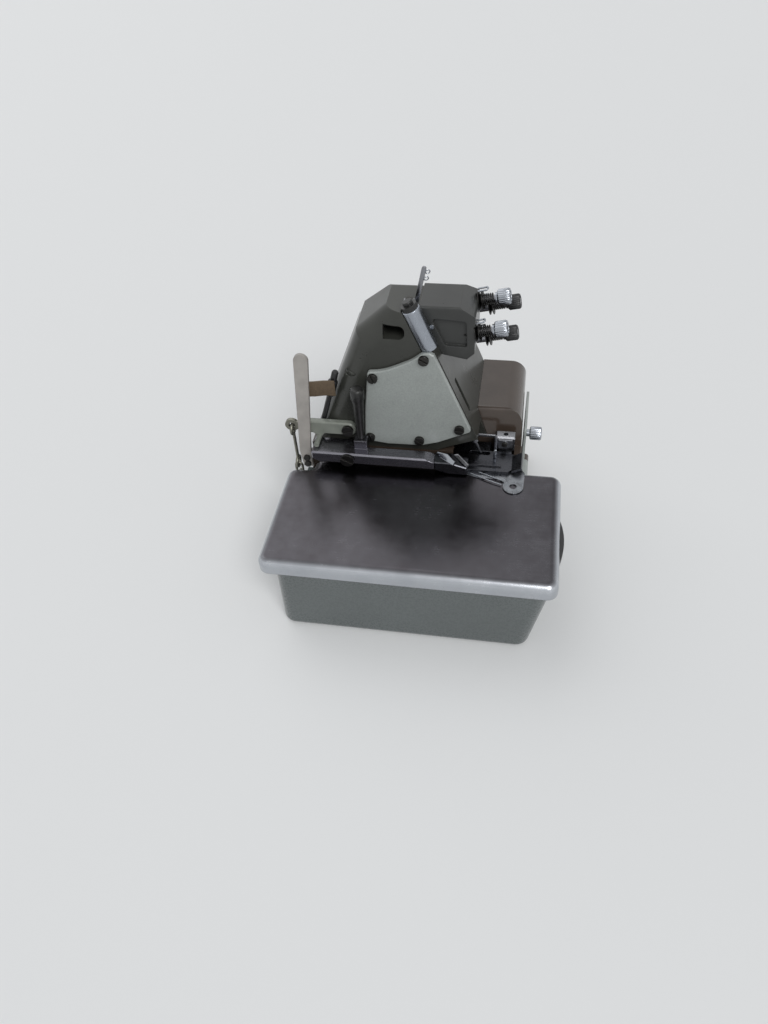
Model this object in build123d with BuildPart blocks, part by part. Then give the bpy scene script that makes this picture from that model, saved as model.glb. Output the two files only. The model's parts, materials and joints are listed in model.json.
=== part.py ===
from build123d import *
from math import atan2, cos, radians, sin, tan
import os

# Overlock sewing machine head, in millimetres.
# X runs to the operator's right, Y to the back, Z up.
# The origin is the centre of the base's underside, which stands on the table.

os.makedirs("parts", exist_ok=True)

# Overall plan and heights
BED_LEFT = -120.0
SEAM_X = 5.0
BODY_RIGHT = 120.0
FOOT_FRONT = -103.0
FOOT_BACK = 102.0
RIM_FRONT = -116.3
RIM_BACK = 101.0
RIM_HEIGHT = 66.0
BED_WALL = 5.0
BED_CORNER = 11.0
FRAME_FRONT = -87.0
FRAME_BACK = 97.0
FRAME_WALL = 6.0
SPLIT_HEIGHT = 88.0
ARM_LEFT = 15.0
ARM_RIGHT = 118.0
SEAT_GAP = 0.3
RUN_GAP = 0.06
PIN_GAP = 0.08
SMALL_SCREW_R = 1.6
SCREW_REACH = 5.0

# Cloth plate
PLATE_LEFT = -121.0
PLATE_RIGHT = 5.0
PLATE_FRONT = -121.5
PLATE_BACK = 113.5
PLATE_TOP = RIM_HEIGHT + 14
PLATE_SKIRT = 13.5
PLATE_SHEET = 2.5
PLATE_CORNER = 9.0
PLATE_EDGE = 7.5
PLATE_NOTCH_X = -9.5
PLATE_NOTCH_Y = 92.0
PLATE_NOTCH_OUTER = 8.0
PLATE_NOTCH_INNER = 5.0
RIB_ROOT = 0.8
PLATE_PIN_X = -100.0
PLATE_PIN_Y = 88.0
PLATE_PIN_R = 4.0

# Arm outline, seen from the left end
NEEDLE_TILT = 22.5
FRONT_Y = -49.0
FRONT_Z = 103.0
REAR_Y = 85.0
REAR_Z = 115.0
REAR_TILT = 21.7
ARM_TOP = 222.0
ARM_TOP_BACK = 26.0
CHAMFER_FOOT = 199.0
ARM_EDGE = 16.0
ARM_STEP_X = 60.0
ARM_SHOULDER_X = 76.0
ARM_SHOULDER_Z = 180.0
ARM_END_Z = 158.0

# Needle bar line
NEEDLE_X = 20.0
NEEDLE_TOP_Y = 7.6
NEEDLE_TOP_Z = 228.0
NEEDLE_BAR_R = 3.0
NEEDLE_STROKE = 26.0
GUARD_R = 7.2
GUARD_BORE_R = 5.0
GUARD_FOOT_Z = 190.0
GUARD_HEAD_Z = 224.0

# Deck in front of the arm
DECK_LEFT = 40.0
DECK_SHOULDER_X = 49.0
DECK_TOP = 111.0
DECK_ROUND = 14.0
DECK_PLAN_ROUND = 30.0

# Needle plate and well
NEEDLE_PLATE_TOP = RIM_HEIGHT + 14.5
NEEDLE_PLATE_THICK = 3.0
WELL_LEFT = 9.0
WELL_FRONT = -80.0
WELL_BACK = -50.0
WELL_FLOOR = 14.0

# Main shaft and handwheel
SHAFT_Y = 12.0
SHAFT_Z = 62.0
SHAFT_R = 7.0
BUSH_R = 12.0
WHEEL_R = 50.0
WHEEL_LEFT = 126.0
WHEEL_WIDTH = 20.0

# Presser bar
PRESSER_LEFT = -9.0
PRESSER_RIGHT = 3.0
PRESSER_TOP = 97.5
PRESSER_FOOT_Z = 86.5
PRESSER_FRONT = -14.0
PRESSER_BACK = 92.0
TAIL_RIGHT = 10.8
TAIL_FRONT = 57.0
PRESSER_PIVOT_Y = 60.0


def tilt_run(z, y0, z0, angle):
    """Y of a line that leans by angle from the vertical through (y0, z0)."""
    return y0 + (z - z0) * tan(radians(angle))


def front_y(z):
    """The arm's slanted front panel."""
    return tilt_run(z, FRONT_Y, FRONT_Z, NEEDLE_TILT)


def rear_y(z):
    """The arm's slanted back."""
    return tilt_run(z, REAR_Y, REAR_Z, -REAR_TILT)


def needle_y(z):
    """The axis of the needle bar."""
    return tilt_run(z, NEEDLE_TOP_Y, NEEDLE_TOP_Z, NEEDLE_TILT)


def needle_plane(z):
    """A plane square to the needle bar, centred on it, its normal pointing up the bar."""
    tilt = radians(NEEDLE_TILT)
    return Plane(origin=(NEEDLE_X, needle_y(z), z), x_dir=(1, 0, 0), z_dir=(0, sin(tilt), cos(tilt)))


def span_box(x0, x1, y0, y1, z0, z1, mode=Mode.ADD):
    """A box given by its six limits."""
    with Locations(((x0 + x1) / 2, (y0 + y1) / 2, (z0 + z1) / 2)):
        Box(x1 - x0, y1 - y0, z1 - z0, mode=mode)


def save(part, name):
    part.label = name
    export_step(part, f"parts/{name}.step")


# Bed box: a tapered open box under the cloth plate, standing on the table


def bed_outline(height, inset):
    """Plan of the box at a height, drawn in by a wall."""
    share = height / RIM_HEIGHT
    front = FOOT_FRONT + (RIM_FRONT - FOOT_FRONT) * share + inset
    back = FOOT_BACK + (RIM_BACK - FOOT_BACK) * share - inset
    left = BED_LEFT + inset
    right = SEAM_X - inset
    with BuildSketch(Plane.XY.offset(height)) as sketch:
        with Locations(((left + right) / 2, (front + back) / 2)):
            Rectangle(right - left, back - front)
        fillet(sketch.vertices().group_by(Axis.X)[0], BED_CORNER - inset / 2)
    return sketch.sketch


LOOPER_WINDOW_FRONT = -78.0
LOOPER_WINDOW_BACK = -52.0
LOOPER_WINDOW_Z = (24.0, 58.0)
BASE_BOLT_R = 3.3
BASE_BOLT_DEPTH = 4.0
BASE_BOLT_X = 96.0
BASE_BOLT_Y = 70.0

bed_outer = [bed_outline(0, 0), bed_outline(RIM_HEIGHT, 0)]
bed_inner = [bed_outline(BED_WALL, BED_WALL), bed_outline(RIM_HEIGHT, BED_WALL)]
with BuildPart() as bed_box:
    loft(bed_outer)
    fillet(bed_box.edges().group_by(Axis.Z)[0].filter_by(Axis.X), 6)
    loft(bed_inner, mode=Mode.SUBTRACT)
    # Pivot boss for the cloth plate
    with BuildSketch(Plane.XY.offset(BED_WALL)):
        with Locations((PLATE_PIN_X, PLATE_PIN_Y)):
            Circle(PLATE_PIN_R + 5)
    extrude(amount=RIM_HEIGHT - BED_WALL)
    with BuildSketch(Plane.XY.offset(RIM_HEIGHT)):
        with Locations((PLATE_PIN_X, PLATE_PIN_Y)):
            Circle(PLATE_PIN_R + RUN_GAP)
    extrude(amount=-30, mode=Mode.SUBTRACT)
    # Window where the loopers reach in from the needle well
    span_box(SEAM_X - BED_WALL, SEAM_X, LOOPER_WINDOW_FRONT, LOOPER_WINDOW_BACK, *LOOPER_WINDOW_Z,
             mode=Mode.SUBTRACT)
    with Locations((-BASE_BOLT_X, -BASE_BOLT_Y, 0), (-BASE_BOLT_X, BASE_BOLT_Y, 0)):
        Cylinder(BASE_BOLT_R, BED_WALL, align=(Align.CENTER, Align.CENTER, Align.MIN), mode=Mode.SUBTRACT)
save(bed_box.part, "bed_box")


# Arm: an A-shaped casting, the meeting of its outline from the left and its outline from the front


def arm_end_outline():
    """The arm seen from the left end, from the split line up: Y across, Z up."""
    with BuildSketch() as sketch:
        with BuildLine():
            Polyline(
                (front_y(SPLIT_HEIGHT), SPLIT_HEIGHT),
                (front_y(ARM_TOP), ARM_TOP),
                (ARM_TOP_BACK, ARM_TOP),
                (rear_y(CHAMFER_FOOT), CHAMFER_FOOT),
                (rear_y(SPLIT_HEIGHT), SPLIT_HEIGHT),
                close=True,
            )
        make_face()
    return sketch.sketch


COVER_SHEET = 4.0
GASKET = 0.8
COVER_TOP = [(41.0, 170.3), (24.0, 173.5), (12.5, 179.0), (3.0, 184.5), (-3.0, 189.2), (-9.5, 190.6)]
COVER_FRONT_TOP = 189.0
COVER_FOOT = [(-33.4, 109.5), (-15.6, 100.6), (-1.0, 96.0), (28.0, 95.5), (43.0, 97.6), (47.6, 101.5)]
COVER_FRONT_FOOT = 114.5
COVER_REAR = [(45.5, 131.5), (42.0, 162.0)]
COVER_SCREWS = [(37.0, 165.0), (-4.8, 184.9), (-33.6, 117.2), (0.2, 102.5), (42.8, 102.7)]
COVER_SCREW_R = 2.0
COVER_SCREW_REACH = 3.0
COVER_HEAD_R = 4.2
COVER_HEAD = 2.6


def cover_outline():
    """The side cover, with a wavy top edge and a front edge that follows the arm's."""
    with BuildSketch() as sketch:
        with BuildLine():
            Spline(*COVER_TOP)
            Polyline(
                COVER_TOP[-1],
                (front_y(COVER_FRONT_TOP) + 0.6, COVER_FRONT_TOP),
                (front_y(COVER_FRONT_FOOT) + 0.6, COVER_FRONT_FOOT),
                *COVER_FOOT,
                *COVER_REAR,
                COVER_TOP[0],
            )
        make_face()
        fillet(sketch.vertices().sort_by_distance((front_y(COVER_FRONT_FOOT) + 0.6, COVER_FRONT_FOOT))[0], 3)
        fillet(sketch.vertices().sort_by_distance(COVER_TOP[0])[0], 3)
    return sketch.sketch


def pocket_outline():
    """The recess in the arm behind the side cover, drawn well inside the cover's edge."""
    with BuildSketch() as sketch:
        with BuildLine():
            Polyline(
                (front_y(POCKET_FOOT + 16) + POCKET_INSET, POCKET_FOOT + 16),
                (front_y(POCKET_HEAD) + POCKET_INSET, POCKET_HEAD),
                (2, POCKET_HEAD - 3),
                (30, POCKET_HEAD - 18),
                (30, POCKET_FOOT),
                (-24, POCKET_FOOT + 3),
                close=True,
            )
        make_face()
        fillet(sketch.vertices(), 2.5)
    return sketch.sketch


HATCH_Y = 19.0
HATCH_Z = 205.0
HATCH_WIDTH = 17.0
HATCH_HEIGHT = 12.0
HATCH_DEPTH = 22.0
SLOT_X = 29.0
SLOT_WIDTH = 5.0
SLOT_FOOT = 123.0
SLOT_HEAD = 155.0
SLOT_DEPTH = 14.0
POCKET_DEPTH = 26.0
POCKET_FOOT = 110.0
POCKET_HEAD = 172.0
POCKET_INSET = 9.0
ARM_CUT = [(-62.0, 84.0), (-62.0, 103.0), (-49.0, 103.0), (-24.0, 93.0), (-14.0, 88.0), (-14.0, 84.0)]
LEVER_PIVOT_Y = 62.0
LEVER_PIVOT_Z = 109.0
PRESSER_PIVOT_Z = 92.2
PIVOT_R = 3.5
PIVOT_DEPTH = 16.0
OIL_CAP_X = 98.0
OIL_CAP_Y = 18.0
OIL_NECK_R = 7.0
OIL_NECK_DEPTH = 10.0
GUIDE_ROD_X = 18.0
GUIDE_ROD_R = 2.5
GUIDE_ROD_ENDS = [(85.5, 110.0), (69.5, 163.0)]
GUIDE_ROD_REACH = 18.0
STRIP_SCREW = (32.4, 8.5)

needle_axis = needle_plane(NEEDLE_TOP_Z)
slot_middle = (SLOT_FOOT + SLOT_HEAD) / 2
slot_length = (SLOT_HEAD - SLOT_FOOT) / cos(radians(NEEDLE_TILT))
front_plane = Plane(
    origin=(SLOT_X, front_y(slot_middle), slot_middle),
    x_dir=(1, 0, 0),
    z_dir=(0, -cos(radians(NEEDLE_TILT)), sin(radians(NEEDLE_TILT))),
)
shoulder_tilt = atan2(ARM_SHOULDER_Z - ARM_END_Z, ARM_RIGHT - ARM_SHOULDER_X)
oil_cap_z = ARM_END_Z + (ARM_RIGHT - OIL_CAP_X) * tan(shoulder_tilt)
oil_plane = Plane(
    origin=(OIL_CAP_X, OIL_CAP_Y, oil_cap_z),
    x_dir=(cos(shoulder_tilt), 0, -sin(shoulder_tilt)),
    z_dir=(sin(shoulder_tilt), 0, cos(shoulder_tilt)),
)

with BuildPart() as arm_casting:
    with BuildSketch(Plane.YZ.offset(ARM_LEFT)):
        add(arm_end_outline())
    extrude(amount=ARM_RIGHT - ARM_LEFT)
    with BuildSketch(Plane.XZ.offset(-120)) as arm_front_outline:
        with BuildLine():
            Polyline(
                (ARM_LEFT, SPLIT_HEIGHT),
                (ARM_LEFT, ARM_TOP),
                (ARM_STEP_X, ARM_TOP),
                (ARM_SHOULDER_X, ARM_SHOULDER_Z),
                (ARM_RIGHT, ARM_END_Z),
                (ARM_RIGHT, SPLIT_HEIGHT),
                close=True,
            )
        make_face()
        fillet(arm_front_outline.vertices().sort_by_distance((ARM_STEP_X, ARM_TOP))[0], 7)
        fillet(arm_front_outline.vertices().sort_by_distance((ARM_SHOULDER_X, ARM_SHOULDER_Z))[0], 12)
        fillet(arm_front_outline.vertices().sort_by_distance((ARM_RIGHT, ARM_END_Z))[0], 12)
    extrude(amount=240, mode=Mode.INTERSECT)
    left_face = arm_casting.faces().sort_by(Axis.X)[0]
    rear_edges = [e for e in left_face.edges() if (e @ 0.5).Y > ARM_TOP_BACK and (e @ 0.5).Z > SPLIT_HEIGHT + 1]
    fillet(rear_edges, ARM_EDGE)
    # Underside cut away over the needle, so that the foot and knives are open to view
    with BuildSketch(Plane.YZ.offset(ARM_LEFT)):
        with BuildLine():
            Polyline(*ARM_CUT, close=True)
        make_face()
    extrude(amount=DECK_LEFT - ARM_LEFT, mode=Mode.SUBTRACT)
    # Recess behind the side cover
    with BuildSketch(Plane.YZ.offset(ARM_LEFT)):
        add(pocket_outline())
    extrude(amount=POCKET_DEPTH, mode=Mode.SUBTRACT)
    # D-shaped hatch high in the left face
    with BuildSketch(Plane.YZ.offset(ARM_LEFT)) as hatch:
        with Locations((HATCH_Y, HATCH_Z)):
            Rectangle(HATCH_WIDTH, HATCH_HEIGHT)
        fillet(hatch.vertices().group_by(Axis.X)[0], HATCH_HEIGHT * 0.42)
    extrude(amount=HATCH_DEPTH, mode=Mode.SUBTRACT)
    # Long slot in the slanted front panel
    with BuildSketch(front_plane):
        SlotOverall(slot_length, SLOT_WIDTH, rotation=90)
    extrude(amount=-SLOT_DEPTH, mode=Mode.SUBTRACT)
    # Bore of the needle bar, and the wider seat of its guard tube
    with BuildSketch(needle_axis):
        Circle(NEEDLE_BAR_R + RUN_GAP)
    extrude(amount=-170, mode=Mode.SUBTRACT)
    with BuildSketch(needle_plane(GUARD_FOOT_Z)):
        Circle(GUARD_R + SEAT_GAP)
    extrude(amount=60, mode=Mode.SUBTRACT)
    # Tapped holes for the cover, the two pivots and the oil cap
    with Locations(*[Plane((ARM_LEFT, y, z), x_dir=(0, 1, 0), z_dir=(-1, 0, 0)) for y, z in COVER_SCREWS]):
        Hole(COVER_SCREW_R + PIN_GAP, COVER_SCREW_REACH + 0.2)
    pivots = [(LEVER_PIVOT_Y, LEVER_PIVOT_Z), (PRESSER_PIVOT_Y, PRESSER_PIVOT_Z)]
    with Locations(*[Plane((ARM_LEFT, y, z), x_dir=(0, 1, 0), z_dir=(-1, 0, 0)) for y, z in pivots]):
        Hole(PIVOT_R + RUN_GAP, PIVOT_DEPTH)
    with BuildSketch(oil_plane):
        Circle(OIL_NECK_R + RUN_GAP)
    extrude(amount=-OIL_NECK_DEPTH, mode=Mode.SUBTRACT)
    with BuildSketch(Plane.XY.offset(ARM_TOP)):
        with Locations(STRIP_SCREW):
            Circle(SMALL_SCREW_R + PIN_GAP)
    extrude(amount=-SCREW_REACH, mode=Mode.SUBTRACT)
    for end_y, end_z in GUIDE_ROD_ENDS:
        with BuildSketch(Plane.XZ.offset(-end_y)):
            with Locations((GUIDE_ROD_X, end_z)):
                Circle(GUIDE_ROD_R + PIN_GAP)
        extrude(amount=GUIDE_ROD_REACH, mode=Mode.SUBTRACT)
save(arm_casting.part, "arm_casting")

# Side cover, its gasket and its five screws
with BuildPart() as side_cover:
    with BuildSketch(Plane.YZ.offset(ARM_LEFT - GASKET)):
        add(cover_outline())
    extrude(amount=-COVER_SHEET)
    chamfer(side_cover.faces().sort_by(Axis.X)[0].edges(), 0.8)
    with Locations(*[Plane((ARM_LEFT, y, z), x_dir=(0, 1, 0), z_dir=(-1, 0, 0)) for y, z in COVER_SCREWS]):
        Hole(COVER_SCREW_R + PIN_GAP, 20)
    with BuildSketch(needle_plane(GUARD_FOOT_Z)):
        Circle(GUARD_R + SEAT_GAP)
    extrude(amount=30, mode=Mode.SUBTRACT)
save(side_cover.part, "side_cover")

with BuildPart() as side_cover_gasket:
    with BuildSketch(Plane.YZ.offset(ARM_LEFT)):
        add(cover_outline())
    extrude(amount=-GASKET)
    with Locations(*[Plane((ARM_LEFT, y, z), x_dir=(0, 1, 0), z_dir=(-1, 0, 0)) for y, z in COVER_SCREWS]):
        Hole(COVER_SCREW_R + PIN_GAP, 20)
    with BuildSketch(needle_plane(GUARD_FOOT_Z)):
        Circle(GUARD_R + SEAT_GAP)
    extrude(amount=30, mode=Mode.SUBTRACT)
save(side_cover_gasket.part, "side_cover_gasket")

cover_face_x = ARM_LEFT - GASKET - COVER_SHEET
with BuildPart() as side_cover_screws:
    for y, z in COVER_SCREWS:
        with BuildSketch(Plane.YZ.offset(cover_face_x)):
            with Locations((y, z)):
                Circle(COVER_HEAD_R)
        extrude(amount=-COVER_HEAD)
        with BuildSketch(Plane.YZ.offset(cover_face_x)):
            with Locations((y, z)):
                Circle(COVER_SCREW_R)
        extrude(amount=COVER_SHEET + GASKET + COVER_SCREW_REACH)
        with Locations((cover_face_x - COVER_HEAD, y, z)):
            Box(2.4, COVER_HEAD_R * 2.2, 1.1, rotation=(35 + y, 0, 0), mode=Mode.SUBTRACT)
save(side_cover_screws.part, "side_cover_screws")

# Main frame: the crankcase under the arm, with the glossy deck in front of it
DECK_LOW_Z = 84.0
DECK_FOOT_Y = -84.0
CHAMBER_LEFT = 21.0
CHAMBER_RIGHT = 114.0
CHAMBER_FRONT = -22.0
CHAMBER_BACK = 90.0
CHAMBER_TOP = SPLIT_HEIGHT - 8
RAIL_LEFT = 6.0
RAIL_TOP = RIM_HEIGHT + 14.6
RAIL_FRONT = -28.0
RAIL_BACK = 90.0
LUG_LEFT = 9.2
LUG_BACK = 104.5
FRONT_WINDOW_X = (12.0, 98.0)
FRONT_WINDOW_Z = (17.0, 72.0)
REAR_WINDOW_X = (32.0, 100.0)
REAR_WINDOW_Z = (18.0, 70.0)
PARTITION = 6.0
LOOPER_SHAFT_R = 4.0
LOOPER_BORE_BACK = -12.0
LOWER_LOOPER_X = 20.0
LOWER_LOOPER_Z = 26.0
UPPER_LOOPER_X = 33.0
UPPER_LOOPER_Z = 28.0
HINGE_Y = -91.2
HINGE_Z = 12.0
HINGE_R = 3.5
HINGE_PIN_R = 2.0
KNUCKLES = [(8.0, 16.0), (92.0, 100.0)]
PLATE_SCREWS = [(12.0, -83.2), (11.0, -31.3)]
PLATE_SCREW_R = 1.4
TROUGH_X = (8.2, 16.0)
TROUGH_BACK = -34.0
TROUGH_FLOOR = 58.0
PLATE_HEAD_R = 2.5
PLATE_HEAD = 1.2
REAR_SCREWS = [(29.0, 15.0), (103.0, 15.0), (29.0, 73.0), (103.0, 73.0)]
FLANGE_R = 22.0
FLANGE_THICK = 4.0
FLANGE_SCREW_RING = 17.0
GUIDE_BAR_FOOT = (101.0, RIM_HEIGHT + 0.5)
GUIDE_SCREW_Z = (RIM_HEIGHT + 4, RIM_HEIGHT + 11)

with BuildPart() as deck_form:
    with BuildSketch(Plane.XZ.offset(35)) as deck_front_view:
        with BuildLine():
            Polyline(
                (DECK_LEFT, 0),
                (DECK_LEFT, DECK_LOW_Z),
                (DECK_SHOULDER_X, DECK_TOP),
                (BODY_RIGHT, DECK_TOP),
                (BODY_RIGHT, 0),
                close=True,
            )
        make_face()
        fillet(deck_front_view.vertices().sort_by_distance((DECK_SHOULDER_X, DECK_TOP))[0], 4)
    extrude(amount=60)
    with BuildSketch(Plane.YZ.offset(30)) as deck_end_view:
        with BuildLine():
            Polyline(
                (-35, 0),
                (-35, DECK_TOP),
                (FRAME_FRONT + 2, DECK_TOP),
                (FRAME_FRONT, 16),
                (DECK_FOOT_Y, 0),
                close=True,
            )
        make_face()
        fillet(deck_end_view.vertices().sort_by_distance((FRAME_FRONT + 2, DECK_TOP))[0], DECK_ROUND)
    extrude(amount=100, mode=Mode.INTERSECT)
    with BuildSketch() as deck_plan:
        with Locations(((DECK_LEFT + BODY_RIGHT) / 2, (FRAME_FRONT - 35) / 2)):
            Rectangle(BODY_RIGHT - DECK_LEFT, -35 - FRAME_FRONT)
        fillet(deck_plan.vertices().sort_by_distance((BODY_RIGHT, FRAME_FRONT))[0], DECK_PLAN_ROUND)
    extrude(amount=DECK_TOP, mode=Mode.INTERSECT)


plate_seat_z = NEEDLE_PLATE_TOP - NEEDLE_PLATE_THICK
with BuildPart() as main_frame:
    with BuildSketch() as frame_plan:
        with Locations(((ARM_LEFT + BODY_RIGHT) / 2, (WELL_BACK + FRAME_BACK) / 2)):
            Rectangle(BODY_RIGHT - ARM_LEFT, FRAME_BACK - WELL_BACK)
        fillet(frame_plan.vertices().sort_by_distance((BODY_RIGHT, FRAME_BACK))[0], 14)
    extrude(amount=SPLIT_HEIGHT)
    add(deck_form.part)
    span_box(SEAM_X, ARM_LEFT, FRAME_FRONT + 2, FRAME_BACK, 0, RIM_HEIGHT)
    span_box(SEAM_X, DECK_LEFT, FRAME_FRONT, WELL_BACK, 0, plate_seat_z)
    span_box(RAIL_LEFT, ARM_LEFT, RAIL_FRONT, RAIL_BACK, RIM_HEIGHT, RAIL_TOP)
    span_box(RAIL_LEFT, ARM_LEFT, WELL_BACK, RAIL_FRONT, RIM_HEIGHT, plate_seat_z)
    span_box(LUG_LEFT, ARM_LEFT, RAIL_BACK - 1, LUG_BACK, RIM_HEIGHT, RAIL_TOP)
    # Seat of the arm, and the low shelf under the back of the needle plate
    with BuildSketch(Plane.YZ.offset(ARM_LEFT)):
        add(arm_end_outline())
    extrude(amount=BODY_RIGHT - ARM_LEFT, mode=Mode.SUBTRACT)
    span_box(ARM_LEFT, DECK_LEFT, WELL_BACK, RAIL_FRONT, plate_seat_z, SPLIT_HEIGHT, mode=Mode.SUBTRACT)
    # Crank chamber, needle well and the hollow of the deck
    span_box(CHAMBER_LEFT, CHAMBER_RIGHT, CHAMBER_FRONT, CHAMBER_BACK, FRAME_WALL, CHAMBER_TOP,
             mode=Mode.SUBTRACT)
    span_box(WELL_LEFT, DECK_LEFT, WELL_FRONT, WELL_BACK, WELL_FLOOR, plate_seat_z, mode=Mode.SUBTRACT)
    span_box(DECK_LEFT + PARTITION, CHAMBER_RIGHT, WELL_FRONT, WELL_BACK, WELL_FLOOR, DECK_LOW_Z,
             mode=Mode.SUBTRACT)
    span_box(FRONT_WINDOW_X[0], FRONT_WINDOW_X[1], FRAME_FRONT - 1, WELL_FRONT, *FRONT_WINDOW_Z,
             mode=Mode.SUBTRACT)
    span_box(REAR_WINDOW_X[0], REAR_WINDOW_X[1], CHAMBER_BACK, FRAME_BACK, *REAR_WINDOW_Z,
             mode=Mode.SUBTRACT)
    span_box(SEAM_X, WELL_LEFT, LOOPER_WINDOW_FRONT, LOOPER_WINDOW_BACK, *LOOPER_WINDOW_Z,
             mode=Mode.SUBTRACT)
    span_box(DECK_LEFT, DECK_LEFT + PARTITION, -62, -52, 20, 42, mode=Mode.SUBTRACT)
    # Knuckles of the front cover's hinge
    for x0, x1 in KNUCKLES:
        span_box(x0, x1, HINGE_Y, FRAME_FRONT + 1, HINGE_Z - HINGE_R, HINGE_Z + HINGE_R)
        with BuildSketch(Plane.YZ.offset(x0)):
            with Locations((HINGE_Y, HINGE_Z)):
                Circle(HINGE_R)
        extrude(amount=x1 - x0)
        with BuildSketch(Plane.YZ.offset(x0)):
            with Locations((HINGE_Y, HINGE_Z)):
                Circle(HINGE_PIN_R)
        extrude(amount=x1 - x0, mode=Mode.SUBTRACT)
    # Trough for the feed bar
    span_box(*TROUGH_X, WELL_BACK, TROUGH_BACK, TROUGH_FLOOR, plate_seat_z, mode=Mode.SUBTRACT)
    span_box(*TROUGH_X, WELL_FRONT + 10, WELL_BACK, TROUGH_FLOOR, plate_seat_z, mode=Mode.SUBTRACT)
    # Bores for the main shaft's bushes and the looper shafts
    with BuildSketch(Plane.YZ.offset(ARM_LEFT - 1)):
        with Locations((SHAFT_Y, SHAFT_Z)):
            Circle(BUSH_R)
    extrude(amount=CHAMBER_LEFT - ARM_LEFT + 1, mode=Mode.SUBTRACT)
    with BuildSketch(Plane.YZ.offset(CHAMBER_RIGHT)):
        with Locations((SHAFT_Y, SHAFT_Z)):
            Circle(BUSH_R)
    extrude(amount=BODY_RIGHT - CHAMBER_RIGHT, mode=Mode.SUBTRACT)
    with BuildSketch(Plane.XZ.offset(-LOOPER_BORE_BACK)):
        with Locations((LOWER_LOOPER_X, LOWER_LOOPER_Z), (UPPER_LOOPER_X, UPPER_LOOPER_Z)):
            Circle(LOOPER_SHAFT_R + RUN_GAP)
    extrude(amount=LOOPER_BORE_BACK - WELL_BACK, mode=Mode.SUBTRACT)
    with Locations((BASE_BOLT_X, -BASE_BOLT_Y, 0), (BASE_BOLT_X, BASE_BOLT_Y, 0)):
        Cylinder(BASE_BOLT_R, BASE_BOLT_DEPTH, align=(Align.CENTER, Align.CENTER, Align.MIN),
                 mode=Mode.SUBTRACT)
    # Tapped holes for the needle plate, the rear cover and the flange on the right end
    with BuildSketch(Plane.XY.offset(plate_seat_z)):
        with Locations(*PLATE_SCREWS):
            Circle(PLATE_SCREW_R + PIN_GAP)
    extrude(amount=-SCREW_REACH, mode=Mode.SUBTRACT)
    with BuildSketch(Plane.XZ.offset(-FRAME_BACK)):
        with Locations(*REAR_SCREWS):
            Circle(SMALL_SCREW_R + PIN_GAP)
    extrude(amount=SCREW_REACH, mode=Mode.SUBTRACT)
    with BuildSketch(Plane.YZ.offset(BODY_RIGHT)):
        with Locations((SHAFT_Y, SHAFT_Z)):
            with PolarLocations(FLANGE_SCREW_RING, 4, start_angle=45):
                Circle(SMALL_SCREW_R + PIN_GAP)
    extrude(amount=-SCREW_REACH, mode=Mode.SUBTRACT)
    with BuildSketch(Plane.YZ.offset(LUG_LEFT)):
        with Locations(*[(GUIDE_BAR_FOOT[0], z) for z in GUIDE_SCREW_Z]):
            Circle(SMALL_SCREW_R + PIN_GAP)
    extrude(amount=SCREW_REACH, mode=Mode.SUBTRACT)
save(main_frame.part, "main_frame")

# Cloth plate: a polished lid with a rolled edge, turning on a pin at its back left corner


def plate_outline(inset):
    """Plan of the cloth plate with its notch at the guide bar, drawn in by the sheet."""
    left = PLATE_LEFT + inset
    right = PLATE_RIGHT - inset
    front = PLATE_FRONT + inset
    back = PLATE_BACK - inset
    notch_x = PLATE_NOTCH_X - inset
    notch_y = PLATE_NOTCH_Y - inset
    with BuildSketch(Plane.XY.offset(PLATE_TOP - PLATE_SKIRT)) as sketch:
        with BuildLine():
            Polyline(
                (left, front),
                (right, front),
                (right, notch_y),
                (notch_x, notch_y),
                (notch_x, back),
                (left, back),
                close=True,
            )
        make_face()
        for corner in [(left, front), (right, front), (notch_x, back), (left, back)]:
            fillet(sketch.vertices().sort_by_distance(corner)[0], PLATE_CORNER - inset)
        fillet(sketch.vertices().sort_by_distance((right, notch_y))[0], PLATE_NOTCH_OUTER - inset)
        fillet(sketch.vertices().sort_by_distance((notch_x, notch_y))[0], PLATE_NOTCH_INNER + inset)
    return sketch.sketch


with BuildPart() as plate_hollow:
    add(plate_outline(PLATE_SHEET))
    extrude(amount=PLATE_SKIRT - PLATE_SHEET)
    fillet(plate_hollow.faces().sort_by(Axis.Z)[-1].edges(), PLATE_EDGE - PLATE_SHEET)

with BuildPart() as cloth_plate:
    add(plate_outline(0))
    extrude(amount=PLATE_SKIRT)
    fillet(cloth_plate.faces().sort_by(Axis.Z)[-1].edges(), PLATE_EDGE)
    add(plate_hollow.part, mode=Mode.SUBTRACT)
    # Ribs that rest on the rim of the bed box, and the boss of the pivot
    rib_foot = RIM_HEIGHT + SEAT_GAP
    rib_top = PLATE_TOP - PLATE_SHEET
    span_box(BED_LEFT + 3, SEAM_X - 4, RIM_FRONT + 0.5, RIM_FRONT + 4, rib_foot, rib_top + RIB_ROOT)
    span_box(BED_LEFT + 3, PLATE_NOTCH_X - 3.5, RIM_BACK - 5, RIM_BACK - 0.5, rib_foot, rib_top + RIB_ROOT)
    with BuildSketch(Plane.XY.offset(rib_foot)):
        with Locations((PLATE_PIN_X, PLATE_PIN_Y)):
            Circle(PLATE_PIN_R + 5)
    extrude(amount=rib_top + RIB_ROOT - rib_foot)
    with BuildSketch(Plane.XY.offset(rib_foot)):
        with Locations((PLATE_PIN_X, PLATE_PIN_Y)):
            Circle(PLATE_PIN_R)
    extrude(amount=rib_top - rib_foot, mode=Mode.SUBTRACT)
save(cloth_plate.part, "cloth_plate")

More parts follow.
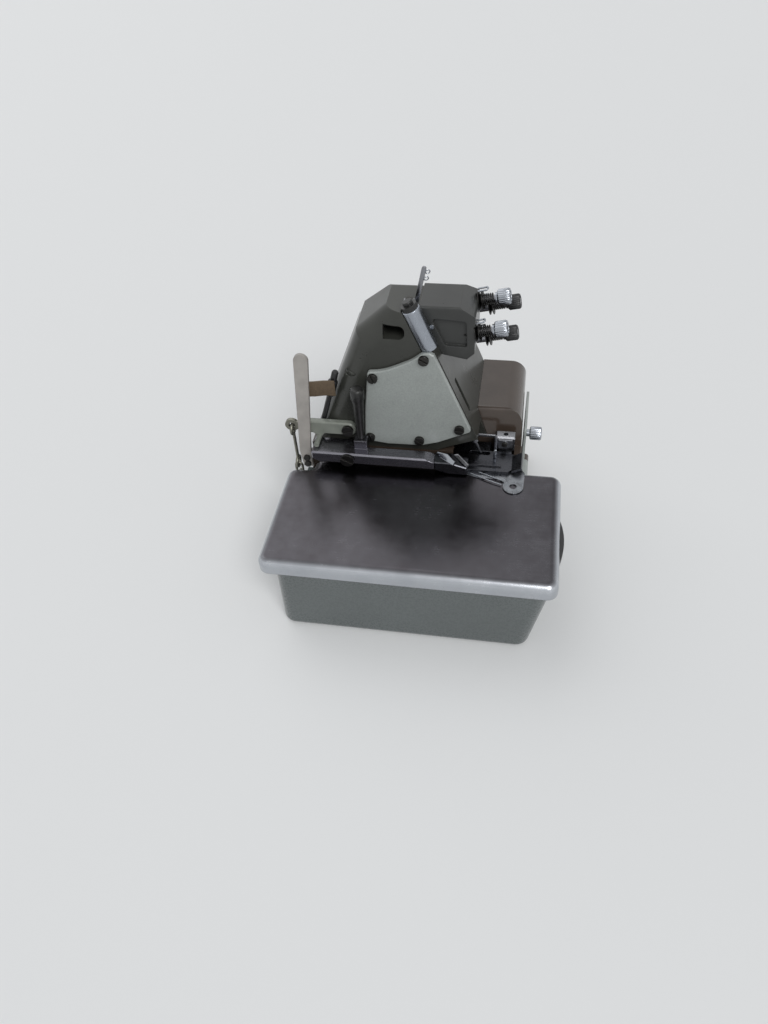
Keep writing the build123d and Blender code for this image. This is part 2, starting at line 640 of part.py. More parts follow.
with BuildPart() as cloth_plate_pin:
    with BuildSketch(Plane.XY.offset(RIM_HEIGHT - 24)):
        with Locations((PLATE_PIN_X, PLATE_PIN_Y)):
            Circle(PLATE_PIN_R)
    extrude(amount=rib_top - RIM_HEIGHT + 24)
    chamfer(cloth_plate_pin.edges().group_by(Axis.Z)[0], 1)
save(cloth_plate_pin.part, "cloth_plate_pin")

# Black bowed catch on the plate's front skirt, pressed to swing the plate out
LATCH_X = (-88.0, -42.0)
LATCH_BOW = 3.4
LATCH_HEIGHT = 4.6
with BuildPart() as plate_latch:
    with BuildSketch(Plane.XY.offset(PLATE_TOP - PLATE_SKIRT + 0.6)):
        with BuildLine():
            ThreePointArc(
                (LATCH_X[0], PLATE_FRONT),
                (sum(LATCH_X) / 2, PLATE_FRONT - LATCH_BOW),
                (LATCH_X[1], PLATE_FRONT),
            )
            Line((LATCH_X[1], PLATE_FRONT), (LATCH_X[0], PLATE_FRONT))
        make_face()
    extrude(amount=LATCH_HEIGHT)
save(plate_latch.part, "plate_latch")

# Needle plate, with its lug, needle hole, feed slots and the notch for the knives
NOTCH_LEFT = 22.5
NOTCH_BACK = -60.0
NEEDLE_PLATE_FRONT = -86.0
FEED_SLOT_X = (9.9, 13.9)
FEED_SLOT_WIDTH = 2.6
FEED_SLOT_FRONT = -70.0
FEED_SLOT_BACK = -34.0
TONGUE_EDGE = [(-4.8, -41.0), (-8.4, -53.0), (-8.1, -62.0), (-7.4, -69.0), (-11.8, -74.0)]
LUG_X = -15.8
LUG_Y = -81.5
LUG_R = 8.5
LUG_HOLE_R = 3.0
LUG_THICK = 0.8
NEEDLE_HOLE_R = 1.6
plate_right = DECK_LEFT - 0.4

with BuildPart() as needle_plate:
    span_box(RAIL_LEFT, plate_right, NEEDLE_PLATE_FRONT, RAIL_FRONT - SEAT_GAP, plate_seat_z, NEEDLE_PLATE_TOP)
    span_box(NOTCH_LEFT, plate_right, NEEDLE_PLATE_FRONT, NOTCH_BACK, plate_seat_z, NEEDLE_PLATE_TOP,
             mode=Mode.SUBTRACT)
    chamfer(needle_plate.faces().sort_by(Axis.Z)[-1].edges(), 0.6)
    for slot_x in FEED_SLOT_X:
        span_box(slot_x - FEED_SLOT_WIDTH / 2, slot_x + FEED_SLOT_WIDTH / 2, FEED_SLOT_FRONT, FEED_SLOT_BACK,
                 plate_seat_z, NEEDLE_PLATE_TOP, mode=Mode.SUBTRACT)
    needle_hole_y = needle_y(NEEDLE_PLATE_TOP - NEEDLE_PLATE_THICK / 2)
    with BuildSketch(Plane.XY.offset(plate_seat_z)):
        with Locations((NEEDLE_X, needle_hole_y)):
            SlotOverall(NEEDLE_HOLE_R * 2 + 3, NEEDLE_HOLE_R * 2, rotation=90)
    extrude(amount=NEEDLE_PLATE_THICK, mode=Mode.SUBTRACT)
    with BuildSketch(Plane.XY.offset(plate_seat_z)):
        with Locations(*PLATE_SCREWS):
            Circle(PLATE_SCREW_R + PIN_GAP)
    extrude(amount=NEEDLE_PLATE_THICK, mode=Mode.SUBTRACT)
    with BuildSketch(Plane.XY.offset(NEEDLE_PLATE_TOP)):
        with Locations(*PLATE_SCREWS):
            Circle(PLATE_HEAD_R + PIN_GAP)
    extrude(amount=-PLATE_HEAD, mode=Mode.SUBTRACT)
    # Lug that reaches out over the cloth plate
    with BuildSketch(Plane.XY.offset(PLATE_TOP + SEAT_GAP)) as lug:
        with BuildLine():
            Polyline(
                (RAIL_LEFT + 2, -36),
                *TONGUE_EDGE,
                (LUG_X, LUG_Y),
                (LUG_X, LUG_Y - LUG_R),
                (0.6, -90.6),
                (RAIL_LEFT + 1.4, -86.5),
                (RAIL_LEFT + 2, -84.5),
                close=True,
            )
        make_face()
        with Locations((LUG_X, LUG_Y)):
            Circle(LUG_R)
            Circle(LUG_HOLE_R, mode=Mode.SUBTRACT)
    extrude(amount=LUG_THICK)
save(needle_plate.part, "needle_plate")

# Feed dog: two toothed rows on one bar
TOOTH_PITCH = 1.6
FEED_TOP = NEEDLE_PLATE_TOP - 0.2
FEED_FRONT = -66.0
FEED_FOOT = 73.0
FEED_BACK = -40.0
with BuildPart() as feed_dog:
    span_box(FEED_SLOT_X[0] - 1, FEED_SLOT_X[1] + 1, FEED_FRONT, FEED_BACK, FEED_FOOT, plate_seat_z - 1)
    span_box(TROUGH_X[0] + SEAT_GAP, TROUGH_X[1] - SEAT_GAP, WELL_BACK + 1, FEED_BACK + 1, TROUGH_FLOOR, FEED_FOOT)
    for slot_x in FEED_SLOT_X:
        tooth_count = int((FEED_BACK - FEED_FRONT) / TOOTH_PITCH)
        with BuildSketch(Plane.YZ.offset(slot_x - 1)):
            with BuildLine():
                points = [(FEED_FRONT, plate_seat_z - 1)]
                for tooth in range(tooth_count):
                    tooth_y = FEED_FRONT + tooth * TOOTH_PITCH
                    points.append((tooth_y, FEED_TOP - 1.0))
                    points.append((tooth_y + TOOTH_PITCH * 0.7, FEED_TOP))
                points.append((FEED_FRONT + tooth_count * TOOTH_PITCH, FEED_TOP - 1.0))
                points.append((FEED_FRONT + tooth_count * TOOTH_PITCH, plate_seat_z - 1))
                Polyline(*points, close=True)
            make_face()
        extrude(amount=2)
save(feed_dog.part, "feed_dog")

# Guard tube around the top of the needle bar, with its black cap
CAP_HEIGHT = 6.0
guard_length = (GUARD_HEAD_Z - GUARD_FOOT_Z) / cos(radians(NEEDLE_TILT))
with BuildPart() as needle_guard_tube:
    with BuildSketch(needle_plane(GUARD_FOOT_Z)):
        Circle(GUARD_R)
        Circle(GUARD_BORE_R, mode=Mode.SUBTRACT)
    extrude(amount=guard_length)
    chamfer(needle_guard_tube.edges().filter_by(GeomType.CIRCLE).sort_by(Axis.Z)[-2:], 0.6)
save(needle_guard_tube.part, "needle_guard_tube")

with BuildPart() as needle_guard_cap:
    with BuildSketch(needle_plane(GUARD_HEAD_Z)):
        Circle(GUARD_R - 0.8)
    extrude(amount=CAP_HEIGHT - 2)
    with BuildSketch(needle_plane(GUARD_HEAD_Z)):
        Circle(GUARD_BORE_R - 0.1)
    extrude(amount=-4)
    with BuildSketch(needle_plane(GUARD_HEAD_Z + (CAP_HEIGHT - 2) * cos(radians(NEEDLE_TILT)))):
        Circle(4)
    extrude(amount=3)
    fillet(needle_guard_cap.edges().sort_by(Axis.Z)[-1:], 1)
save(needle_guard_cap.part, "needle_guard_cap")

# Needle bar at the bottom of its stroke, with its clamp and needle
BAR_FOOT_Z = 97.0
BAR_HEAD_Z = 190.0
NEEDLE_TIP_Z = 68.0
NEEDLE_R = 0.8
SHANK_R = 1.2
with BuildPart() as needle_bar:
    with BuildSketch(needle_plane(BAR_FOOT_Z)):
        Circle(NEEDLE_BAR_R)
        Circle(SHANK_R, mode=Mode.SUBTRACT)
    extrude(amount=8)
    with BuildSketch(needle_plane(BAR_FOOT_Z + 8 * cos(radians(NEEDLE_TILT)))):
        Circle(NEEDLE_BAR_R)
    extrude(amount=(BAR_HEAD_Z - BAR_FOOT_Z) / cos(radians(NEEDLE_TILT)) - 8)
    chamfer(needle_bar.edges().filter_by(GeomType.CIRCLE).sort_by(Axis.Z)[-1:], 0.8)
save(needle_bar.part, "needle_bar")

needle_length = (BAR_FOOT_Z - NEEDLE_TIP_Z) / cos(radians(NEEDLE_TILT))
with BuildPart() as needle:
    with BuildSketch(needle_plane(BAR_FOOT_Z)):
        Circle(SHANK_R)
    extrude(amount=8)
    with BuildSketch(needle_plane(BAR_FOOT_Z)):
        Circle(SHANK_R)
    extrude(amount=-6)
    with BuildSketch(needle_plane(BAR_FOOT_Z)):
        Circle(NEEDLE_R)
    extrude(amount=-(needle_length - 4))
    tip_plane = needle_plane(NEEDLE_TIP_Z + 4 * cos(radians(NEEDLE_TILT)))
    with BuildSketch(tip_plane):
        Circle(NEEDLE_R)
    with BuildSketch(needle_plane(NEEDLE_TIP_Z)):
        Circle(0.15)
    loft()
save(needle.part, "needle")

# Tension block on the front of the arm, with a recess in its left wall
BLOCK_LEFT = 26.4
BLOCK_TOP_RIGHT = 62.0
BLOCK_RIGHT = 74.0
BLOCK_FRONT = -43.0
BLOCK_FOOT_Z = 180.0
BLOCK_LEDGE = 8.0
TENSION_TILT = 12.0
TENSION_POSTS = [("near", 32.0, 198.0), ("far", 57.0, 211.0)]
LOOPER_POSTS = [("near", 42.0, 186.5), ("far", 67.0, 199.0)]
LOOPER_RISE = 8.0
with BuildPart() as tension_block:
    with BuildSketch(Plane.YZ.offset(BLOCK_LEFT)) as block_end:
        with BuildLine():
            Polyline(
                (front_y(BLOCK_FOOT_Z), BLOCK_FOOT_Z),
                (front_y(ARM_TOP), ARM_TOP),
                (BLOCK_FRONT + BLOCK_LEDGE + 4, ARM_TOP),
                (BLOCK_FRONT, ARM_TOP - BLOCK_LEDGE),
                (BLOCK_FRONT, BLOCK_FOOT_Z + 2),
                (BLOCK_FRONT + 6, BLOCK_FOOT_Z - 4),
                close=True,
            )
        make_face()
        fillet(block_end.vertices().sort_by_distance((BLOCK_FRONT, ARM_TOP - BLOCK_LEDGE))[0], 4)
    extrude(amount=BLOCK_RIGHT - BLOCK_LEFT)
    with BuildSketch(Plane.XZ.offset(-40)) as block_front:
        with BuildLine():
            Polyline(
                (BLOCK_LEFT, BLOCK_FOOT_Z - 10),
                (BLOCK_LEFT, ARM_TOP),
                (BLOCK_TOP_RIGHT, ARM_TOP),
                (BLOCK_RIGHT, ARM_TOP - 16),
                (BLOCK_RIGHT, BLOCK_FOOT_Z - 10),
                close=True,
            )
        make_face()
        fillet(block_front.vertices().sort_by_distance((BLOCK_LEFT, ARM_TOP))[0], 2)
        fillet(block_front.vertices().sort_by_distance((BLOCK_TOP_RIGHT, ARM_TOP))[0], 4)
    extrude(amount=90, mode=Mode.INTERSECT)
    with BuildSketch(Plane.YZ.offset(BLOCK_LEFT)) as block_recess:
        with BuildLine():
            Polyline(
                (front_y(188) - 6, 188),
                (front_y(212) - 5, 212),
                (BLOCK_FRONT + 7, 210),
                (BLOCK_FRONT + 6, 187),
                close=True,
            )
        make_face()
        fillet(block_recess.vertices(), 2)
    extrude(amount=3, mode=Mode.SUBTRACT)
    with BuildSketch(needle_plane(GUARD_FOOT_Z - 20)):
        Circle(GUARD_R + SEAT_GAP)
    extrude(amount=80, mode=Mode.SUBTRACT)


def post_plane(post_x, post_z, lift=0.0):
    """A plane square to a tension post, its normal pointing out of the block's front."""
    tilt = radians(TENSION_TILT)
    out = (0, -cos(tilt), sin(tilt))
    return Plane(
        origin=(post_x, BLOCK_FRONT + lift * out[1], post_z + lift * out[2]),
        x_dir=(1, 0, 0),
        z_dir=out,
    )


POST_R = 2.6
POST_ROOT = 9.0
POST_LENGTH = 25.0
all_posts = [(post_x, post_z, 0.0) for side, post_x, post_z in TENSION_POSTS]
all_posts += [(post_x, post_z, LOOPER_RISE) for side, post_x, post_z in LOOPER_POSTS]
with BuildPart() as drilled_block:
    add(tension_block.part)
    for post_x, post_z, rise in all_posts:
        with BuildSketch(post_plane(post_x, post_z)):
            Circle(POST_R)
        extrude(amount=-POST_ROOT, mode=Mode.SUBTRACT)
        # Round seat turned flat for the first disc
        with BuildSketch(post_plane(post_x, post_z)):
            Circle(9.5)
        extrude(amount=8, mode=Mode.SUBTRACT)
save(drilled_block.part, "tension_block")

with BuildPart() as tension_posts:
    for post_x, post_z, rise in all_posts:
        with BuildSketch(post_plane(post_x, post_z)):
            Circle(POST_R)
        extrude(amount=-POST_ROOT)
        with BuildSketch(post_plane(post_x, post_z)):
            Circle(POST_R)
        extrude(amount=POST_LENGTH + rise)
        # Sleeve that holds the looper threads' discs clear of the needle threads' nuts
        if rise:
            with BuildSketch(post_plane(post_x, post_z)):
                Circle(POST_R + 1.8)
            extrude(amount=rise)
save(tension_posts.part, "tension_posts")

DISC_R = 7.5
DISC_SHEET = 0.6
DISC_DISH = 1.2
SPRING_START = 2.4
SPRING_LENGTH = 10.8
SPRING_R = 4.6
SPRING_TURNS = 5
NUT_START = 13.3
NUT_LENGTH = 12.5
NUT_R = 6.3
NUT_FLUTES = 12


def disc_profile(base, sign):
    """Half section of a dished disc, drawn along the post's axis."""
    rim = base + sign * DISC_DISH
    with BuildSketch() as sketch:
        with BuildLine():
            Polyline(
                (POST_R + 0.2, base),
                (DISC_R * 0.55, base),
                (DISC_R, rim),
                (DISC_R, rim + DISC_SHEET),
                (DISC_R * 0.55, base + DISC_SHEET),
                (POST_R + 0.2, base + DISC_SHEET),
                close=True,
            )
        make_face()
    return sketch.sketch


def section_plane(post_x, post_z, rise):
    """The plane that holds a post's axis, its Y along the post."""
    tilt = radians(TENSION_TILT)
    origin = post_plane(post_x, post_z, rise).origin
    return Plane(origin=origin, x_dir=(1, 0, 0), z_dir=(0, -sin(tilt), -cos(tilt)))


with BuildPart() as tension_discs:
    for post_x, post_z, rise in all_posts:
        post_axis = Axis((post_x, BLOCK_FRONT, post_z), tuple(post_plane(post_x, post_z).z_dir))
        with BuildSketch(section_plane(post_x, post_z, rise)):
            add(disc_profile(DISC_DISH, -1))
        revolve(axis=post_axis)
        with BuildSketch(section_plane(post_x, post_z, rise)):
            add(disc_profile(DISC_DISH + DISC_SHEET, 1))
        revolve(axis=post_axis)
save(tension_discs.part, "tension_discs")

with BuildPart() as tension_springs:
    pitch = SPRING_LENGTH / SPRING_TURNS
    for post_x, post_z, rise in all_posts:
        post_axis = Axis((post_x, BLOCK_FRONT, post_z), tuple(post_plane(post_x, post_z).z_dir))
        with BuildSketch(section_plane(post_x, post_z, rise)):
            with BuildLine():
                points = [(POST_R + 0.3, SPRING_START)]
                for turn in range(SPRING_TURNS):
                    low = SPRING_START + turn * pitch
                    points.append((SPRING_R - 1.0, low))
                    points.append((SPRING_R, low + pitch * 0.3))
                    points.append((SPRING_R, low + pitch * 0.7))
                points.append((SPRING_R - 1.0, SPRING_START + SPRING_LENGTH))
                points.append((POST_R + 0.3, SPRING_START + SPRING_LENGTH))
                Polyline(*points, close=True)
            make_face()
        revolve(axis=post_axis)
save(tension_springs.part, "tension_springs")


def tension_nut(post_x, post_z, radius, rise):
    """A fluted finger nut on its post."""
    with BuildPart() as nut:
        with BuildSketch(post_plane(post_x, post_z, NUT_START + rise)):
            Circle(radius)
            with PolarLocations(radius + 0.5, NUT_FLUTES):
                Circle(1.0, mode=Mode.SUBTRACT)
        extrude(amount=NUT_LENGTH)
        chamfer(nut.faces().filter_by(Axis.Z, reverse=True).sort_by(Axis.Y)[0].edges()
                .filter_by(GeomType.CIRCLE), 0.4)
        with BuildSketch(post_plane(post_x, post_z, NUT_START + rise)):
            Circle(POST_R + PIN_GAP)
        extrude(amount=NUT_LENGTH, mode=Mode.SUBTRACT)
    return nut.part


for side, post_x, post_z in TENSION_POSTS:
    save(tension_nut(post_x, post_z, NUT_R, 0), f"needle_tension_nut_{side}")
for side, post_x, post_z in LOOPER_POSTS:
    save(tension_nut(post_x, post_z, NUT_R - 0.3, LOOPER_RISE), f"looper_tension_nut_{side}")

# Screws of the needle plate, sunk flush
with BuildPart() as needle_plate_screws:
    for x, y in PLATE_SCREWS:
        with BuildSketch(Plane.XY.offset(NEEDLE_PLATE_TOP)):
            with Locations((x, y)):
                Circle(PLATE_HEAD_R)
        extrude(amount=-PLATE_HEAD)
        with BuildSketch(Plane.XY.offset(NEEDLE_PLATE_TOP)):
            with Locations((x, y)):
                Circle(PLATE_SCREW_R)
        extrude(amount=-(NEEDLE_PLATE_THICK + SCREW_REACH - 1))
        with Locations((x, y, NEEDLE_PLATE_TOP)):
            Box(PLATE_HEAD_R * 2.2, 0.8, 1.0, rotation=(0, 0, 40 + x), mode=Mode.SUBTRACT)
save(needle_plate_screws.part, "needle_plate_screws")

# Knives: the lower blade stands in its holder, the upper one is driven up and down by a rod
KNIFE_SEAM_X = 25.5
KNIFE_THICK = 1.6
KNIFE_FRONT = -78.0
KNIFE_BACK = -66.0
KNIFE_ROD_X = 33.0
KNIFE_ROD_Y = -71.0
KNIFE_ROD_R = 4.0
GUIDE_BLOCK_Z = (46.0, 62.0)
HOLDER_Z = (83.0, 97.0)
with BuildPart() as knife_guide:
    span_box(KNIFE_ROD_X - 6, DECK_LEFT, KNIFE_ROD_Y - 6, KNIFE_ROD_Y + 5.4, *GUIDE_BLOCK_Z)
    with BuildSketch(Plane.XY.offset(GUIDE_BLOCK_Z[0])):
        with Locations((KNIFE_ROD_X, KNIFE_ROD_Y)):
            Circle(KNIFE_ROD_R + RUN_GAP)
    extrude(amount=GUIDE_BLOCK_Z[1] - GUIDE_BLOCK_Z[0], mode=Mode.SUBTRACT)
save(knife_guide.part, "knife_guide")

upper_blade_left = KNIFE_SEAM_X + 0.1
upper_blade_right = upper_blade_left + KNIFE_THICK
with BuildPart() as upper_knife:
    with BuildSketch(Plane.YZ.offset(upper_blade_left)):
        with BuildLine():
            Polyline(
                (KNIFE_FRONT, 95),
                (KNIFE_BACK, 95),
                (KNIFE_BACK, 78),
                (KNIFE_FRONT, 75),
                close=True,
            )
        make_face()
    extrude(amount=KNIFE_THICK)
save(upper_knife.part, "upper_knife")

with BuildPart() as upper_knife_holder:
    span_box(upper_blade_right, KNIFE_ROD_X + 4, -80, -63, *HOLDER_Z)
    chamfer(upper_knife_holder.faces().sort_by(Axis.Z)[-1].edges(), 1.5)
    with BuildSketch(Plane.XY.offset(GUIDE_BLOCK_Z[0] - 6)):
        with Locations((KNIFE_ROD_X, KNIFE_ROD_Y)):
            Circle(KNIFE_ROD_R)
    extrude(amount=HOLDER_Z[0] - GUIDE_BLOCK_Z[0] + 8)
    # Socket of its clamping screw
    with BuildSketch(Plane.XY.offset(HOLDER_Z[1])):
        with Locations((KNIFE_ROD_X - 1, KNIFE_ROD_Y - 1)):
            RegularPolygon(2.2, 6)
    extrude(amount=-4, mode=Mode.SUBTRACT)
save(upper_knife_holder.part, "upper_knife_holder")

with BuildPart() as lower_knife:
    with BuildSketch(Plane.YZ.offset(KNIFE_SEAM_X - KNIFE_THICK)):
        with BuildLine():
            Polyline((KNIFE_FRONT, 62), (KNIFE_BACK, 62), (KNIFE_BACK, NEEDLE_PLATE_TOP - 0.1), (KNIFE_FRONT, NEEDLE_PLATE_TOP - 0.1), close=True)
        make_face()
    extrude(amount=KNIFE_THICK)
save(lower_knife.part, "lower_knife")

with BuildPart() as lower_knife_holder:
    span_box(WELL_LEFT, KNIFE_SEAM_X - KNIFE_THICK, WELL_FRONT, -71, 60, 74)
    with BuildSketch(Plane.YZ.offset(WELL_LEFT + 9)):
        with Locations((-75, 67)):
            Circle(1.8)
    extrude(amount=6, mode=Mode.SUBTRACT)
save(lower_knife_holder.part, "lower_knife_holder")

# Loopers on their rocking shafts
LOWER_PLANE_BACK = -59.4
UPPER_PLANE_BACK = -62.8
LOOPER_THICK = 2.0
LOOPER_SHAFT_BACK = -14.0
HUB_R = 5.0
with BuildPart() as lower_looper:
    with BuildSketch(Plane.XZ.offset(-LOWER_PLANE_BACK)):
        with BuildLine():
            Polyline(
                (LOWER_LOOPER_X - 4, LOWER_LOOPER_Z),
                (LOWER_LOOPER_X - 8, 52),
                (LOWER_LOOPER_X - 11.0, 60),
                (LOWER_LOOPER_X - 10.5, 66),
                (LOWER_LOOPER_X - 5.5, 70),
                (LOWER_LOOPER_X - 5.0, 69),
                (LOWER_LOOPER_X - 7.0, 66),
                (LOWER_LOOPER_X - 6.5, 61),
                (LOWER_LOOPER_X + 1, 52),
                (LOWER_LOOPER_X + 4, LOWER_LOOPER_Z),
                close=True,
            )
        make_face()
    extrude(amount=LOOPER_THICK)
    with BuildSketch(Plane.XZ.offset(-LOWER_PLANE_BACK)):
        with Locations((LOWER_LOOPER_X, LOWER_LOOPER_Z)):
            Circle(HUB_R)
    extrude(amount=LOOPER_THICK + 3)
    with BuildSketch(Plane.XZ.offset(-LOOPER_SHAFT_BACK)):
        with Locations((LOWER_LOOPER_X, LOWER_LOOPER_Z)):
            Circle(LOOPER_SHAFT_R)
    extrude(amount=LOOPER_SHAFT_BACK - LOWER_PLANE_BACK)
save(lower_looper.part, "lower_looper")

with BuildPart() as upper_looper:
    with BuildSketch(Plane.XZ.offset(-UPPER_PLANE_BACK)):
        with BuildLine():
            Polyline(
                (UPPER_LOOPER_X - 4, UPPER_LOOPER_Z),
                (UPPER_LOOPER_X - 2, 54),
                (UPPER_LOOPER_X - 1, 66),
                (UPPER_LOOPER_X - 3, 72),
                (UPPER_LOOPER_X - 6, 75.4),
                (UPPER_LOOPER_X - 5.2, 76.2),
                (UPPER_LOOPER_X - 1, 75),
                (UPPER_LOOPER_X + 3, 68),
                (UPPER_LOOPER_X + 4, 54),
                (UPPER_LOOPER_X + 4, UPPER_LOOPER_Z),
                close=True,
            )
        make_face()
    extrude(amount=LOOPER_THICK)
    with BuildSketch(Plane.XZ.offset(-UPPER_PLANE_BACK)):
        with Locations((UPPER_LOOPER_X, UPPER_LOOPER_Z)):
            Circle(HUB_R)
    extrude(amount=LOOPER_THICK + 2)
    with BuildSketch(Plane.XZ.offset(-LOOPER_SHAFT_BACK)):
        with Locations((UPPER_LOOPER_X, UPPER_LOOPER_Z)):
            Circle(LOOPER_SHAFT_R)
    extrude(amount=LOOPER_SHAFT_BACK - UPPER_PLANE_BACK)
save(upper_looper.part, "upper_looper")

# Presser bar, foot and handle
SOLE_RIGHT = 23.4
SOLE_Z = NEEDLE_PLATE_TOP + 0.7
SOLE_THICK = 2.8
HANDLE_X = 4.0
HANDLE_Y = 49.5
HANDLE_FOOT = PRESSER_TOP + 8.5
HANDLE_TOP = 156.5
with BuildPart() as presser_arm:
    with BuildSketch(Plane.YZ.offset(PRESSER_LEFT)) as bar_side:
        with BuildLine():
            Polyline(
                (PRESSER_FRONT, PRESSER_FOOT_Z),
                (PRESSER_FRONT, PRESSER_TOP - 3),
                (PRESSER_FRONT + 8, PRESSER_TOP),
                (PRESSER_BACK, PRESSER_TOP),
                (PRESSER_BACK, PRESSER_FOOT_Z + 3),
                (PRESSER_BACK - 6, PRESSER_FOOT_Z),
                close=True,
            )
        make_face()
        fillet(bar_side.vertices().group_by(Axis.X)[-1], 2)
    extrude(amount=PRESSER_RIGHT - PRESSER_LEFT)
    chamfer(presser_arm.edges().filter_by(Axis.Y), 1.2)
    # Wider tail round the pivot, and the boss that carries the handle
    span_box(PRESSER_RIGHT - 2, TAIL_RIGHT, TAIL_FRONT, PRESSER_BACK - 6, PRESSER_FOOT_Z + 0.6, PRESSER_TOP)
    span_box(PRESSER_RIGHT - 2, TAIL_RIGHT, PRESSER_BACK - 8, PRESSER_BACK, PRESSER_FOOT_Z + 4, PRESSER_TOP)
    span_box(HANDLE_X - 5, HANDLE_X + 3.2, HANDLE_Y - 5.5, HANDLE_Y + 5.5, PRESSER_TOP - 5, HANDLE_FOOT)
    with BuildSketch(Plane.YZ.offset(PRESSER_LEFT)):
        with Locations((PRESSER_PIVOT_Y, PRESSER_PIVOT_Z)):
            Circle(PIVOT_R + RUN_GAP)
    extrude(amount=TAIL_RIGHT - PRESSER_LEFT, mode=Mode.SUBTRACT)
    with BuildSketch(Plane.XY.offset(HANDLE_FOOT)):
        with Locations((HANDLE_X, HANDLE_Y)):
            Circle(2.5 + PIN_GAP)
    extrude(amount=-7, mode=Mode.SUBTRACT)
save(presser_arm.part, "presser_arm")

with BuildPart() as presser_handle:
    with BuildSketch(Plane.XZ.offset(-HANDLE_Y)):
        with BuildLine():
            Polyline((0, HANDLE_FOOT - 6), (2.5, HANDLE_FOOT - 6), (2.5, HANDLE_FOOT), (3.0, HANDLE_FOOT))
            Spline((3.0, HANDLE_FOOT), (3.6, HANDLE_FOOT + 16), (4.4, HANDLE_FOOT + 32), (5.2, HANDLE_TOP - 6),
                   (4.6, HANDLE_TOP - 1.4), (2.6, HANDLE_TOP))
            Polyline((2.6, HANDLE_TOP), (0, HANDLE_TOP), (0, HANDLE_FOOT - 6))
        make_face()
    revolve(axis=Axis((0, HANDLE_Y, 0), (0, 0, 1)))
save(presser_handle.part.moved(Location((HANDLE_X, 0, 0))), "presser_handle")

with BuildPart() as presser_foot:
    with BuildSketch(Plane.YZ.offset(PRESSER_LEFT + 2)):
        with BuildLine():
            Polyline(
                (PRESSER_FRONT, SOLE_Z + 4),
                (PRESSER_FRONT, PRESSER_TOP - 4),
                (PRESSER_FRONT - 14, PRESSER_TOP - 4),
                (PRESSER_FRONT - 28, SOLE_Z + 8),
                (PRESSER_FRONT - 28, SOLE_Z),
                (PRESSER_FRONT - 12, SOLE_Z),
                close=True,
            )
        make_face()
    extrude(amount=13)
    chamfer(presser_foot.faces().sort_by(Axis.X)[0].edges(), 0.8)
    with BuildSketch(Plane.XY.offset(SOLE_Z)) as sole:
        with BuildLine():
            Polyline(
                (-2, -30),
                (SOLE_RIGHT, -30),
                (SOLE_RIGHT, -72),
                (SOLE_RIGHT - 3, -80),
                (2, -80),
                (-2, -76),
                close=True,
            )
        make_face()
        with Locations((NEEDLE_X, -51)):
            SlotOverall(18, 4.4, rotation=90, mode=Mode.SUBTRACT)
    extrude(amount=SOLE_THICK)
    # Toe turned up at the front
    with BuildSketch(Plane.YZ.offset(-1)):
        with BuildLine():
            Polyline((-79, SOLE_Z + 0.4), (-79, SOLE_Z + SOLE_THICK), (-87, SOLE_Z + 7.4), (-88, SOLE_Z + 5.4), close=True)
        make_face()
    extrude(amount=SOLE_RIGHT - 3.5)
    with BuildSketch(Plane.XZ.offset(70)):
        with Locations((4, SOLE_Z + SOLE_THICK)):
            Rectangle(1.6, 2.4)
    extrude(amount=-36)
save(presser_foot.part, "presser_foot")

# Pivot of the presser bar, with the collar that spaces it from the arm
COLLAR_R = 5.0
with BuildPart() as presser_pivot:
    with BuildSketch(Plane.YZ.offset(PRESSER_LEFT - 3)):
        with Locations((PRESSER_PIVOT_Y, PRESSER_PIVOT_Z)):
            Circle(6)
    extrude(amount=2.7)
    with BuildSketch(Plane.YZ.offset(PRESSER_LEFT - 3)):
        with Locations((PRESSER_PIVOT_Y, PRESSER_PIVOT_Z)):
            Circle(PIVOT_R)
    extrude(amount=ARM_LEFT + PIVOT_DEPTH - 1 - PRESSER_LEFT + 3)
    with BuildSketch(Plane.YZ.offset(TAIL_RIGHT + SEAT_GAP)):
        with Locations((PRESSER_PIVOT_Y, PRESSER_PIVOT_Z)):
            Circle(COLLAR_R - 0.9)
    extrude(amount=ARM_LEFT - TAIL_RIGHT - SEAT_GAP)
    with Locations((PRESSER_LEFT - 3, PRESSER_PIVOT_Y, PRESSER_PIVOT_Z)):
        Box(2.4, 13, 1.4, rotation=(25, 0, 0), mode=Mode.SUBTRACT)
save(presser_pivot.part, "presser_pivot")

